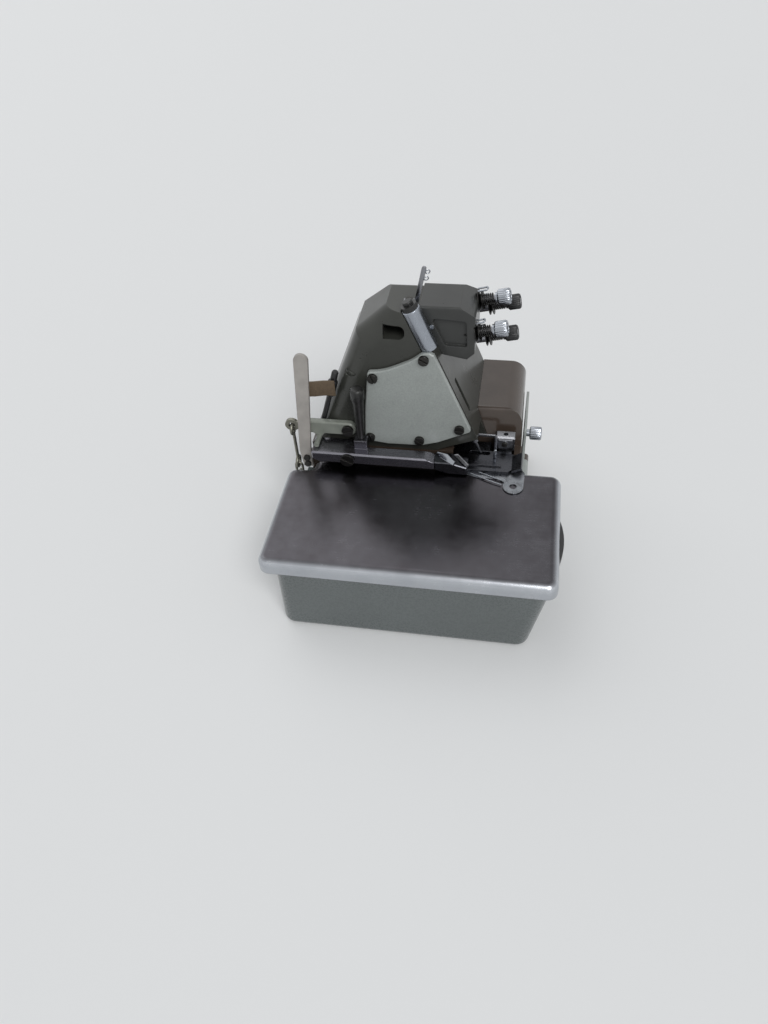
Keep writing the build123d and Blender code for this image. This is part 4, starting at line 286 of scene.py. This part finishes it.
def worked_metal(name, hex_colour, roughness, stretch=(1, 1, 1), line_mm=0.6, lines=0.08, cloud_mm=30.0,
                 edge_mm=0.5):
    """Bare or plated metal with lines of working drawn out along one direction."""
    material, tree, shader = fresh_material(name, 1.0, roughness)
    place = object_place(tree)
    scratches = noise(tree, stretched(tree, place, stretch), line_mm, detail=3.0, roughness=0.7)
    clouds = noise(tree, place, cloud_mm, detail=4.0)
    both = mingle(tree, LINE_SHARE, clouds, scratches)
    colour = linear(hex_colour)
    tones = two_tones(tree, both, shade(colour, 1 - 2.2 * lines), shade(colour, 1 + lines))
    gloss = spread(tree, both, roughness - 0.05, roughness + 0.10)
    wire_up(tree, shader, tones, gloss, scratches, LINE_STRENGTH, depth_mm=0.1, edge_mm=edge_mm)
    return material


finishes["screws"] = worked_metal("blackened_steel", "#464543", 0.36, line_mm=0.5)
finishes["tube_chrome"] = worked_metal("satin_chrome", "#a3a8b0", 0.24, stretch=(1, 1, 0.1))
finishes["bright_chrome"] = worked_metal("bright_chrome", "#a6aab0", 0.16, lines=0.04)
finishes["polished_steel"] = worked_metal("ground_steel", "#8c8d91", 0.26, stretch=(1, 0.1, 1),
                                          cloud_mm=12.0, lines=0.05)
finishes["dark_steel"] = worked_metal("oiled_steel", "#3f3e3d", 0.34, cloud_mm=8.0, lines=0.12)
finishes["worn_steel"] = worked_metal("dull_wire", "#86857b", 0.42, cloud_mm=5.0, lines=0.16)
finishes["cast"] = worked_metal("turned_cast_iron", "#6b6b69", 0.40, cloud_mm=14.0, lines=0.12)
finishes["bronze"] = worked_metal("turned_bronze", "#a9814b", 0.30)
print("metals:", sum(1 for name in finishes if "paint" not in name))

# %% [markdown]
# The cloth plate is a pressed steel lid. Its flat top is painted a dark, cloudy grey with a violet cast, a
# painted reflection of the dark room it faces, and its curled rim is painted bright, a painted highlight.
# Height alone tells the two apart, so a mask on Z blends the flat's colour into the rim's over the first
# few millimetres down.

# %% Cloth plate
PLATE_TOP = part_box("cloth_plate")[1][2]
# Depths below the top where the painted edge highlight begins and where it is full
EDGE_HIGHLIGHT_START = 0.2 * MM
EDGE_HIGHLIGHT_FULL = 2.6 * MM

plate_material, tree, shader = fresh_material("plate_steel_painted_highlight", 1.0, 0.30)
place = object_place(tree)
lines = noise(tree, stretched(tree, place, (1, 0.02, 1)), 0.8, detail=3.0, roughness=0.7)
clouds = noise(tree, place, 55.0, detail=5.0, roughness=0.65)
smears = noise(tree, place, 9.0, detail=4.0)
worn = mingle(tree, 0.22, mingle(tree, 0.35, clouds, smears), lines)
# Painted reflection: the flat top's dark tones stand in for the dark room it mirrors; painted highlight:
# the rim's pale tones stand in for light caught on it
flat_dark_reflection_tones = two_tones(tree, worn, linear("#444144"), linear("#5c5b5f"), 0.32, 0.68)
edge_highlight_tones = two_tones(tree, worn, linear("#aaaeb4"), linear("#c4c7cc"))
height = put(tree, "ShaderNodeSeparateXYZ", {"Vector": place}).outputs["Z"]
# Mask on height that fades the painted highlight in down the rim
edge_highlight_mask = mask(tree, height, PLATE_TOP - EDGE_HIGHLIGHT_START, PLATE_TOP - EDGE_HIGHLIGHT_FULL)
plate_tones = blend(tree, edge_highlight_mask, flat_dark_reflection_tones, edge_highlight_tones)
plate_gloss = spread(tree, worn, 0.18, 0.32)
wire_up(tree, shader, plate_tones, plate_gloss, lines, 0.05, depth_mm=0.1, edge_mm=1.0)
finishes["cloth_plate_steel"] = plate_material
print("plate top at", round(PLATE_TOP / MM, 1), "mm")

# %% [markdown]
# Moulded phenolic and rubber give little back to the eye but a soft highlight, so they only need a trace
# of uneven gloss. Leather has a pebbled grain about a millimetre across that darkens in its creases.

# %% Plastic, gasket and leather


def moulded(name, hex_colour, roughness, grain_mm, grain, coat=0.0):
    """A moulded or grained skin with uneven gloss."""
    material, tree, shader = fresh_material(name, 0.0, roughness, coat)
    pebbles = noise(tree, object_place(tree), grain_mm)
    colour = linear(hex_colour)
    tones = two_tones(tree, pebbles, shade(colour, 0.7), shade(colour, 1.25))
    gloss = spread(tree, pebbles, roughness - 0.05, roughness + 0.15)
    wire_up(tree, shader, tones, gloss, pebbles, grain, depth_mm=0.2, edge_mm=0.4)
    return material


finishes["black_plastic"] = moulded("black_phenolic", "#161615", 0.30, grain_mm=3.0, grain=0.02, coat=0.1)
finishes["black_nut"] = moulded("black_moulding", "#202021", 0.30, grain_mm=2.0, grain=0.08)
finishes["gasket"] = moulded("oiled_gasket_paper", "#2b2925", 0.70, grain_mm=1.0, grain=0.3)
finishes["leather"] = moulded("worn_leather", "#5b4d3c", 0.60, grain_mm=1.1, grain=0.5)

for row in frame["record"]["subparts"]:
    for material_slot in nodes[row["node"]].material_slots:
        material_slot.material = finishes[row["material_slot"]]

# %% [markdown]
# A few pieces have a finish of their own, apart from the rest of their steel. The presser bar is plated and
# smooth, a cool grey with a violet cast. The needle plate's steel is darker towards the arm, past 3 mm in
# X, and lighter on its tongue.
# Both are speckled with small painted glints, bright pale blue-white specks.
# The foot is dark between its bright hinge plates, and the knife holder is bright.

# %% Presser bar, foot and needle plate
# Along X the needle plate's colour goes from darker towards the arm to lighter on the tongue
TONGUE_STARTS = 3 * MM
TONGUE_LIGHTEST = -3 * MM

bar_steel = worked_metal("plated_bar", "#818087", 0.24, stretch=(1, 0.05, 1), line_mm=0.8, lines=0.04,
                         cloud_mm=20.0, edge_mm=0.8)
foot_steel = worked_metal("rubbed_foot_steel", "#4b4c50", 0.26, stretch=(1, 0.1, 1), cloud_mm=6.0,
                          lines=0.10)

two_tone_plate_steel, tree, shader = fresh_material("two_tone_needle_plate_steel", 1.0, 0.30)
place = object_place(tree)
stains = noise(tree, place, 7.0, detail=5.0)
specks = noise(tree, place, 0.7, detail=2.0)
arm_side_tones = two_tones(tree, stains, linear("#26272a"), linear("#45474b"))
tongue_tones = two_tones(tree, stains, linear("#686a6d"), linear("#96999e"))
sideways = put(tree, "ShaderNodeSeparateXYZ", {"Vector": place}).outputs["X"]
on_tongue = mask(tree, sideways, TONGUE_STARTS, TONGUE_LIGHTEST)
split_tones = blend(tree, on_tongue, arm_side_tones, tongue_tones)
# Painted glints: where the fine speck noise is high, the colour turns a pale blue-white highlight
painted_glint_tones = blend(tree, mask(tree, specks, 0.62, 0.72), split_tones, linear("#b9c2cf"))
stain_gloss = spread(tree, stains, 0.20, 0.42)
wire_up(tree, shader, painted_glint_tones, stain_gloss, specks, 0.12, depth_mm=0.1, edge_mm=0.4)

OWN_FINISHES = {
    "presser_arm": bar_steel,
    "presser_foot": foot_steel,
    "needle_plate": two_tone_plate_steel,
    "feed_dog": two_tone_plate_steel,
    "upper_knife_holder": finishes["polished_steel"],
    "presser_pivot": finishes["dark_steel"],
    "tension_discs": finishes["dark_steel"],
}
for node_name, finish in OWN_FINISHES.items():
    nodes[node_name].material_slots[0].material = finish
print("own finishes:", len(OWN_FINISHES))

# %% [markdown]
# Small turned, wound and bent pieces are made here as meshes. Each starts as a bmesh near the origin, with
# its axis along Z, because a lathe form is easiest to think of there. One function then moves it to its
# place, and another makes it an object, gives it its finish and says which moving body carries it.

# %% Helpers for new pieces
SHARP_ANGLE = radians(32)
MERGE_WITHIN = 0.001 * MM
made = []


def aimed(work, origin_mm, direction):
    """Moves a form made along Z to a place in the machine, its Z along a direction."""
    turn = Vector(direction).to_track_quat("Z", "Y").to_matrix().to_4x4()
    bmesh.ops.transform(work, matrix=Matrix.Translation(Vector(origin_mm) * MM) @ turn, verts=work.verts)
    return work


def settle(name, work, slot, body, instead_of=None):
    """Makes the finished object, smooth but for its sharp edges, and says what it rides on."""
    bmesh.ops.recalc_face_normals(work, faces=work.faces)
    mesh = bpy.data.meshes.new(name)
    work.to_mesh(mesh)
    work.free()
    mesh.shade_smooth()
    mesh.set_sharp_from_angle(angle=SHARP_ANGLE)
    mesh.materials.append(finishes[slot])
    piece = bpy.data.objects.new(name, mesh)
    bpy.context.scene.collection.objects.link(piece)
    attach(piece, body)
    if instead_of:
        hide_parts(instead_of)
    made.append(name)


def spun(work, section, steps):
    """Spins a section once round Z and joins the last step to the first."""
    bmesh.ops.spin(work, geom=section, cent=(0, 0, 0), axis=(0, 0, 1), angle=2 * pi, steps=steps,
                   use_merge=True)
    bmesh.ops.remove_doubles(work, verts=work.verts, dist=MERGE_WITHIN)
    return work


def turned(outline_mm, steps, bored=False):
    """Turns an outline of (radius, height) points about Z; a bored form's outline joins up with itself."""
    work = bmesh.new()
    corners = [work.verts.new((radius * MM, 0, height * MM)) for radius, height in outline_mm]
    sides = [work.edges.new(pair) for pair in zip(corners, corners[1:])]
    if bored:
        sides.append(work.edges.new((corners[-1], corners[0])))
    return spun(work, corners + sides, steps)


def wire_section(wire_r, place_mm, sides):
    """An upright circle of wire at a place beside Z, ready to be spun."""
    work = bmesh.new()
    upright = Matrix.Translation(Vector(place_mm) * MM) @ Matrix.Rotation(pi / 2, 4, "X")
    bmesh.ops.create_circle(work, segments=sides, radius=wire_r * MM, matrix=upright)
    return work


def drawn_out(work, faces, along_mm):
    """Extrudes faces along a vector and returns the faces that moved."""
    moved = bmesh.ops.extrude_face_region(work, geom=faces)["geom"]
    corners = [item for item in moved if isinstance(item, bmesh.types.BMVert)]
    bmesh.ops.translate(work, vec=Vector(along_mm) * MM, verts=corners)
    return [item for item in moved if isinstance(item, bmesh.types.BMFace)]


def ease_edges(work, edges, width_mm):
    """Rounds edges a little, because a pressed or cut edge is never quite sharp."""
    bmesh.ops.bevel(work, geom=edges, offset=width_mm * MM, affect="EDGES", segments=2, profile=0.5,
                    material=-1)


print("finishes to choose from:", len(finishes))

# %% [markdown]
# Each thread passes between two dished discs, and a coil spring presses them together. The spring in the
# solid model is a ridged sleeve, so it is wound here: a small circle spun about the post, lifted a little
# at each step, is exactly how a spring is coiled on an arbor.

# %% Wound tension springs
BLOCK_FRONT = -43.0
POST_TILT = radians(12.0)
POST_OUT = Vector((0, -cos(POST_TILT), sin(POST_TILT)))
LOOPER_RISE = 8.0
# Each post's x and z at the block's front, and how far its seat stands out from there
POSTS = {
    "needle_near": (32.0, 198.0, 0.0),
    "needle_far": (57.0, 211.0, 0.0),
    "looper_near": (42.0, 186.5, LOOPER_RISE),
    "looper_far": (67.0, 199.0, LOOPER_RISE),
}
SPRING_START = 2.5
SPRING_LENGTH = 10.6
SPRING_TURNS = 6
SPRING_WIRE_R = 0.55
SPRING_COIL_R = 3.9
SPRING_WIRE_SIDES = 8
STEPS_PER_TURN = 20


def on_post(post, lift):
    """A point on a tension post's axis, lifted from its seat."""
    x, z, rise = post
    return Vector((x, BLOCK_FRONT, z)) + POST_OUT * (rise + lift)


def wound_spring():
    """A coil of round wire along Z, its ends closed."""
    work = wire_section(SPRING_WIRE_R, (SPRING_COIL_R, 0, SPRING_WIRE_R), SPRING_WIRE_SIDES)
    steps = SPRING_TURNS * STEPS_PER_TURN
    climb = (SPRING_LENGTH - 2 * SPRING_WIRE_R) * MM / steps
    bmesh.ops.spin(work, geom=work.verts[:] + work.edges[:], cent=(0, 0, 0), axis=(0, 0, 1),
                   dvec=(0, 0, climb), angle=2 * pi * SPRING_TURNS, steps=steps)
    bmesh.ops.holes_fill(work, edges=[edge for edge in work.edges if edge.is_boundary], sides=0)
    return work


for post_name, post in POSTS.items():
    spring = aimed(wound_spring(), on_post(post, SPRING_START), POST_OUT)
    settle(f"{post_name}_spring", spring, "dark_steel", "base", "tension_springs")
print("new pieces so far:", len(made))

# %% [markdown]
# The tension nuts are turned with the fingers, so each has a fine knurl round its head, a waist that shows
# the spring, and a dished face with the end of the post in it. The knurl is cut after the form is turned:
# every point on the head is drawn in or left by its angle round the post. The front cover's knob is alike.

# %% Knurled finger nuts
NUT_START = 13.3
NUT_BORE_R = 2.72
NEEDLE_NUT_R = 6.3
LOOPER_NUT_R = 6.0
KNOB_SEAT = (50.0, -89.5, 84.8)
NUT_KNURLS = 24
KNURL_DEPTH = 0.07
NUT_STEPS = NUT_KNURLS * 4


def knurl(work, from_radius):
    """Draws in the points beyond a radius by their angle, so that a turned head gets a grip."""
    for vert in work.verts:
        if vert.co.xy.length > from_radius * MM:
            angle = atan2(vert.co.y, vert.co.x)
            pull = 1 - KNURL_DEPTH * (0.5 - 0.5 * cos(NUT_KNURLS * angle))
            bmesh.ops.scale(work, vec=(pull, pull, 1), verts=[vert])
    return work


def finger_nut(radius):
    """A finger nut with a waist, a knurled head and a dished face, standing along Z."""
    waist = [(NUT_BORE_R, 0.2), (4.4, 0.2), (4.4, 1.5)]
    head = [(radius - 0.7, 2.1), (radius, 2.9), (radius, 10.8), (radius - 0.6, 11.7), (radius - 1.1, 12.0)]
    dish = [(4.3, 12.0), (4.0, 9.9), (NUT_BORE_R, 9.9)]
    return knurl(turned(waist + head + dish, NUT_STEPS, bored=True), radius - 0.65)


for post_name, post in POSTS.items():
    kind, side = post_name.split("_")
    slot = "bright_chrome" if kind == "needle" else "black_nut"
    nut = finger_nut(NEEDLE_NUT_R if kind == "needle" else LOOPER_NUT_R)
    settle(f"{post_name}_finger_nut", aimed(nut, on_post(post, NUT_START), POST_OUT), slot,
           f"{kind}_nut_{side}", f"{kind}_tension_nut_{side}")
knob = knurl(turned([(0, 0), (3.2, 0), (3.2, 2.6), (5.3, 3.1), (5.9, 3.8), (5.9, 12.2), (5.3, 13.0),
                     (3.8, 13.3), (3.4, 12.6), (0, 12.6)], NUT_STEPS), 5.4)
settle("front_cover_finger_knob", aimed(knob, KNOB_SEAT, (0, -1, 0)), "bright_chrome", "cover",
       "front_cover_knob")
print("new pieces so far:", len(made))

# %% [markdown]
# Screws, bolts and washers hold the small tools in place. A slotted head is a disc cut by two planes,
# raised, and then sunk between the cuts. A bolt is a six-sided plate raised and eased along its top edges.

# %% Screws, bolts and washers
LEFTWARD = Vector((-1, 0, 0))
RIGHTWARD = Vector((1, 0, 0))
SLOT_WIDTH = 0.8
SLOT_DEPTH = 0.7
SIDE_SCREW_SEAT = (26.4, -9.3, 205.0)
KNIFE_SEAT = Vector((25.6, -71.5, 91.0))
KNIFE_WASHER_THICK = 0.5
WHEEL_SEAT = (146.0, 12.0, 62.0)


def disc(radius, sides):
    """A flat disc or polygon on Z = 0."""
    work = bmesh.new()
    bmesh.ops.create_circle(work, cap_ends=True, segments=sides, radius=radius * MM)
    return work


def slotted_head(radius, height):
    """A slotted screw head standing on Z = 0."""
    work = disc(radius, sides=32)
    for side in (-1, 1):
        bmesh.ops.bisect_plane(work, geom=work.verts[:] + work.edges[:] + work.faces[:],
                               plane_co=(0, side * SLOT_WIDTH / 2 * MM, 0), plane_no=(0, 1, 0))
    tops = drawn_out(work, work.faces[:], (0, 0, height))
    strip = [face for face in tops if abs(face.calc_center_median().y) < SLOT_WIDTH / 4 * MM]
    drawn_out(work, strip, (0, 0, -SLOT_DEPTH))
    return work


def hex_head(radius, height):
    """A six-sided bolt head with eased corners, standing on Z = 0."""
    work = disc(radius, sides=6)
    drawn_out(work, work.faces[:], (0, 0, height))
    rim = [edge for edge in work.edges if all(v.co.z > height / 2 * MM for v in edge.verts)]
    ease_edges(work, rim, 0.35)
    return work


def washer(radius, bore, thick):
    """A flat washer standing on Z = 0."""
    ease = thick * 0.2
    return turned([(bore, 0), (radius - ease, 0), (radius, ease), (radius, thick - ease),
                   (radius - ease, thick), (bore, thick)], steps=32, bored=True)


side_screw = slotted_head(radius=1.9, height=1.2)
settle("block_side_screw", aimed(side_screw, SIDE_SCREW_SEAT, LEFTWARD), "bright_chrome", "base")
knife_washer = washer(radius=3.3, bore=1.3, thick=KNIFE_WASHER_THICK)
settle("knife_washer", aimed(knife_washer, KNIFE_SEAT, LEFTWARD), "polished_steel", "knife")
knife_bolt = hex_head(radius=2.7, height=1.4)
settle("knife_bolt", aimed(knife_bolt, KNIFE_SEAT + LEFTWARD * KNIFE_WASHER_THICK, LEFTWARD), "screws",
       "knife")
wheel_washer = washer(radius=11.0, bore=7.05, thick=1.0)
settle("handwheel_washer", aimed(wheel_washer, WHEEL_SEAT, RIGHTWARD), "polished_steel",
       "handwheel_shaft")
print("new pieces so far:", len(made))

# %% [markdown]
# Threads are led by bent wire and drilled eyes. Wire is quickest as a curve with a round section, turned to
# a mesh once its shape is right. An eyelet is a small ring, which is a circle spun right round.

# %% Thread guides
STAPLE_WIRE_R = 0.75
STAPLE_HALF = 2.2
STAPLE_ABOVE_POST = 9.0
STAPLE_ROOT_Y = BLOCK_FRONT + 1
STAPLE_FRONT_Y = BLOCK_FRONT - 6.0
TONGUE_WIRE_R = 0.5
TONGUE_WIRES = {
    "near": [(-3.4, -44.5, 81.5), (-7.0, -52.0, 81.6), (-12.5, -64.0, 81.6), (-15.0, -71.5, 81.5)],
    "far": [(0.5, -47.0, 81.5), (-2.5, -54.0, 81.6), (-7.0, -64.0, 81.6), (-10.0, -72.0, 81.5)],
}


def bent_wire(points_mm, radius):
    """Round wire along a smooth line of points, its ends closed."""
    curve = bpy.data.curves.new("wire", "CURVE")
    curve.dimensions = "3D"
    curve.bevel_depth = radius * MM
    curve.bevel_resolution = 3
    curve.use_fill_caps = True
    spline = curve.splines.new("NURBS")
    spline.points.add(len(points_mm) - 1)
    for point, place_mm in zip(spline.points, points_mm):
        point.co = (*(Vector(place_mm) * MM), 1)
    spline.use_endpoint_u = True
    spline.order_u = 3
    spline.resolution_u = 6
    holder = bpy.data.objects.new("wire", curve)
    drawn = bpy.data.meshes.new_from_object(holder)
    work = bmesh.new()
    work.from_mesh(drawn)
    bmesh.ops.remove_doubles(work, verts=work.verts, dist=MERGE_WITHIN)
    bpy.data.objects.remove(holder)
    bpy.data.curves.remove(curve)
    bpy.data.meshes.remove(drawn)
    return work


def ring(radius, wire_r):
    """A round ring of wire lying flat on Z = 0."""
    work = wire_section(wire_r, (radius, 0, 0), sides=10)
    return spun(work, work.verts[:] + work.edges[:], steps=28)


for post_name, (x, z, _) in POSTS.items():
    foot_z = z + STAPLE_ABOVE_POST
    crown_z = foot_z + 2
    near_leg = [(x - STAPLE_HALF, STAPLE_ROOT_Y, foot_z), (x - STAPLE_HALF, STAPLE_FRONT_Y, foot_z + 1.5),
                (x - STAPLE_HALF, STAPLE_FRONT_Y, crown_z)]
    crown = [(x, STAPLE_FRONT_Y - 1, crown_z)]
    far_leg = [(x + STAPLE_HALF, leg_y, leg_z) for _, leg_y, leg_z in reversed(near_leg)]
    settle(f"{post_name}_thread_guide", bent_wire(near_leg + crown + far_leg, STAPLE_WIRE_R),
           "bright_chrome", "base")
for side, points in TONGUE_WIRES.items():
    settle(f"tongue_wire_{side}", bent_wire(points, TONGUE_WIRE_R), "bright_chrome", "base")
print("new pieces so far:", len(made))

# %% [markdown]
# Much of the rest is flat stock: a bracket that keeps trimmed cloth off the blade, the plates of the
# presser foot's hinge, the thread strip and its foot, and the leather strap. Each is a thin outline given
# its thickness by one extrusion, and then its edges are eased.

# %% Bracket, hinge plates, thread strip and strap
BRACKET_LEFT = 23.9
BRACKET_SIDE = [(-41.5, 101.6), (-63.2, 101.6), (-65.2, 99.8), (-65.2, 82.8), (-62.6, 82.8), (-62.6, 98.4),
                (-61.6, 99.2), (-41.5, 99.2)]
HINGE_SLOPE = [(2.7, -16.0, 97.4), (0.4, -25.0, 97.4), (-8.2, -31.6, 97.4), (-9.4, -30.4, 93.9),
               (-1.3, -19.2, 93.9), (4.2, -14.4, 93.9)]
HINGE_THICKNESS = (1.6, -1.0, -1.6)
TOE_TOP = [(4.7, -29.5, 93.9), (-6.6, -41.5, 91.2), (-3.4, -43.6, 90.4), (6.6, -33.4, 93.0)]
TOE_RIM = 0.8
TOE_DISH = 0.5
FINGER_LEFT = 9.0
FINGER_SIDE = [(-62.8, 83.4), (-65.4, 83.4), (-65.4, 97.6), (-63.8, 97.6), (-62.8, 96.4)]
STRIP_LEFT = 29.2
STRIP_SIDE = [(4.8, 222.0), (-2.0, 252.6), (-2.9, 253.8), (-4.7, 253.8), (-5.6, 252.6), (1.2, 222.0)]
STRIP_FOOT = [(29.2, 1.2, 222.1), (36.0, 3.0, 222.1), (36.0, 13.0, 222.1), (29.2, 13.0, 222.1)]
EYELETS = {"upper": (29.8, -6.4, 249.5), "lower": (29.8, -5.2, 244.0)}
EYELET_FACING = (1, 0.4, 0.3)
STRAP_BOTTOM = 142.4
STRAP_WIDTH = 15.0
STRAP_PLAN = [(9.3, 101.0), (9.3, 95.0), (10.1, 87.0), (12.0, 79.5), (12.6, 74.5), (12.6, 70.0),
              (13.7, 70.0), (13.7, 74.5), (13.2, 79.8), (11.3, 87.4), (10.5, 95.0), (10.5, 101.0)]


def flat_stock(corners_mm, along_mm, ease=0.2):
    """A flat outline given its thickness along a vector, with eased edges."""
    work = bmesh.new()
    work.faces.new([work.verts.new(Vector(corner) * MM) for corner in corners_mm])
    drawn_out(work, work.faces[:], along_mm)
    bmesh.ops.recalc_face_normals(work, faces=work.faces)
    ease_edges(work, work.edges[:], ease)
    return work


def side_plate(outline_mm, left, thick, ease=0.2):
    """A plate seen from the side as an outline of (y, z) points, with its left face at a place in X."""
    return flat_stock([(left, y, z) for y, z in outline_mm], (thick, 0, 0), ease)


settle("cut_off_bracket", side_plate(BRACKET_SIDE, BRACKET_LEFT, 1.2), "polished_steel", "base")
settle("foot_hinge_plate", flat_stock(HINGE_SLOPE, HINGE_THICKNESS, ease=0.3), "bright_chrome", "presser")
toe_plate = flat_stock(TOE_TOP, (0, 0, -1.2), ease=0.25)
top_face = max(toe_plate.faces, key=lambda face: face.calc_area() * face.normal.z)
bmesh.ops.inset_individual(toe_plate, faces=[top_face], thickness=TOE_RIM * MM, depth=-TOE_DISH * MM)
settle("foot_toe_plate", toe_plate, "polished_steel", "presser")
settle("foot_thread_finger", side_plate(FINGER_SIDE, FINGER_LEFT, 1.3), "bright_chrome", "presser")
settle("thread_strip_blade", side_plate(STRIP_SIDE, STRIP_LEFT, 1.3, ease=0.3), "polished_steel", "base",
       "thread_strip")
settle("thread_strip_foot", flat_stock(STRIP_FOOT, (0, 0, 1.1)), "polished_steel", "base", "thread_strip")
for name, eye_place in EYELETS.items():
    eyelet = aimed(ring(radius=1.7, wire_r=0.45), eye_place, EYELET_FACING)
    settle(f"strip_eyelet_{name}", eyelet, "bright_chrome", "base")
strap = flat_stock([(x, y, STRAP_BOTTOM) for x, y in STRAP_PLAN], (0, 0, STRAP_WIDTH), ease=0.25)
settle("leather_strap", strap, "leather", "base", "guide_strap")
print("new pieces so far:", len(made))

# %% [markdown]
# Two turned pieces finish the left side: the handle of the presser bar, a taper with a domed cap, and the
# rod that the strap hooks over, with its collar. A pin at the rod's foot runs into the arm. The unused hole
# above it is closed by a plug, whose end is sheared so that it lies flush with the leaning casting.

# %% Presser handle and guide rod
HANDLE_AXIS = (4.0, 49.5, 0)
ROD_FOOT = Vector((18.0, 85.5, 110.0))
ROD_HEAD = Vector((18.0, 69.5, 163.0))
PIN_R = 2.4
PIN_REACH = 17.0
FORWARD = (0, -1, 0)
PLUG_SEAT = (18.0, 58.6, 163.0)
PLUG_R = 2.5
PLUG_LENGTH = 6.5
ARM_LEAN = 1.05

handle = turned([(0, 100.2), (2.4, 100.2), (2.4, 106.1), (2.7, 106.5), (2.9, 110), (3.6, 122), (4.3, 136),
                 (4.8, 147.4), (5.6, 147.9), (5.8, 148.6), (5.8, 156.0), (5.4, 157.3), (4.4, 158.1),
                 (0, 158.4)], steps=36)
settle("presser_bar_handle", aimed(handle, HANDLE_AXIS, (0, 0, 1)), "black_plastic", "presser",
       "presser_handle")

rod_run = (ROD_HEAD - ROD_FOOT).length
rod = turned([(0, -2.5), (1.8, -1.8), (2.5, 0), (2.3, 4), (2.3, 29), (3.2, 31), (4.2, 31.8), (4.2, 45.2),
              (3.4, 46.4), (2.9, 47.0), (2.9, rod_run - 0.6), (2.3, rod_run + 0.6), (0, rod_run + 0.9)],
             steps=32)
settle("guide_rod_turned", aimed(rod, ROD_FOOT, ROD_HEAD - ROD_FOOT), "black_nut", "base", "guide_rod")
pin = turned([(0, -0.6), (1.6, -0.4), (PIN_R, 0.4), (PIN_R, PIN_REACH), (0, PIN_REACH)], steps=24)
settle("guide_rod_pin", aimed(pin, ROD_FOOT, FORWARD), "black_nut", "base", "guide_rod")

plug = turned([(0, 0), (PLUG_R, 0), (PLUG_R, PLUG_LENGTH), (0, PLUG_LENGTH)], steps=24)
for vert in plug.verts:
    if vert.co.z < PLUG_LENGTH / 2 * MM:
        vert.co.z -= vert.co.x * ARM_LEAN
settle("arm_hole_plug", aimed(plug, PLUG_SEAT, FORWARD), "arm_paint", "base")
print("new pieces in all:", len(made))

# %% [markdown]
# The floor is a plain pale board far wider than the view, so that its far edge never shows. Two soft suns
# light it evenly at any distance, where a lamp near the machine would leave the far floor grey. The world
# shows its pale colour to the camera and in reflections, and a calmer one to the surfaces it lights.

# %% Floor, world and light
FLOOR_HALF = 8.0
LIT_STRENGTH = 0.55
SHOWN_STRENGTH = 1.0

floor_mesh = bpy.data.meshes.new("floor")
floor_bmesh = bmesh.new()
bmesh.ops.create_grid(floor_bmesh, x_segments=1, y_segments=1, size=FLOOR_HALF)
floor_bmesh.to_mesh(floor_mesh)
floor_bmesh.free()
floor = bpy.data.objects.new("floor", floor_mesh)
bpy.context.scene.collection.objects.link(floor)
floor_material, _, floor_shader = fresh_material("pale_floor", 0.0, 0.6)
floor_shader.inputs["Base Color"].default_value = linear("#dfe0e0")
floor_mesh.materials.append(floor_material)

world = bpy.data.worlds.new("studio")
bpy.context.scene.world = world
world.use_nodes = True
sky = world.node_tree
sky.nodes.clear()
ray = put(sky, "ShaderNodeLightPath").outputs
mirrored = put(sky, "ShaderNodeMath", {0: ray["Is Glossy Ray"], 1: ray["Is Transmission Ray"]},
               operation="MAXIMUM")
seen = put(sky, "ShaderNodeMath", {0: ray["Is Camera Ray"], 1: mirrored.outputs["Value"]},
           operation="MAXIMUM")
lit = put(sky, "ShaderNodeBackground", {"Color": linear("#d8dadd"), "Strength": LIT_STRENGTH})
shown = put(sky, "ShaderNodeBackground", {"Color": linear("#e4e5e6"), "Strength": SHOWN_STRENGTH})
mixed = put(sky, "ShaderNodeMixShader", {0: seen.outputs["Value"], 1: lit.outputs["Background"],
                                         2: shown.outputs["Background"]})
put(sky, "ShaderNodeOutputWorld", {"Surface": mixed.outputs["Shader"]})


def soft_sun(name, towards_light, spread_degrees, strength):
    """A sun wide enough to cast soft shadows, set by the direction its light comes from."""
    data = bpy.data.lights.new(name, "SUN")
    data.energy = strength
    data.angle = radians(spread_degrees)
    sun = bpy.data.objects.new(name, data)
    bpy.context.scene.collection.objects.link(sun)
    sun.rotation_euler = Vector(towards_light).to_track_quat("Z", "Y").to_euler()


soft_sun("key_sun", towards_light=(-0.80, -0.45, 1.0), spread_degrees=30, strength=1.75)
soft_sun("fill_sun", towards_light=(0.60, 0.60, 0.9), spread_degrees=60, strength=0.6)
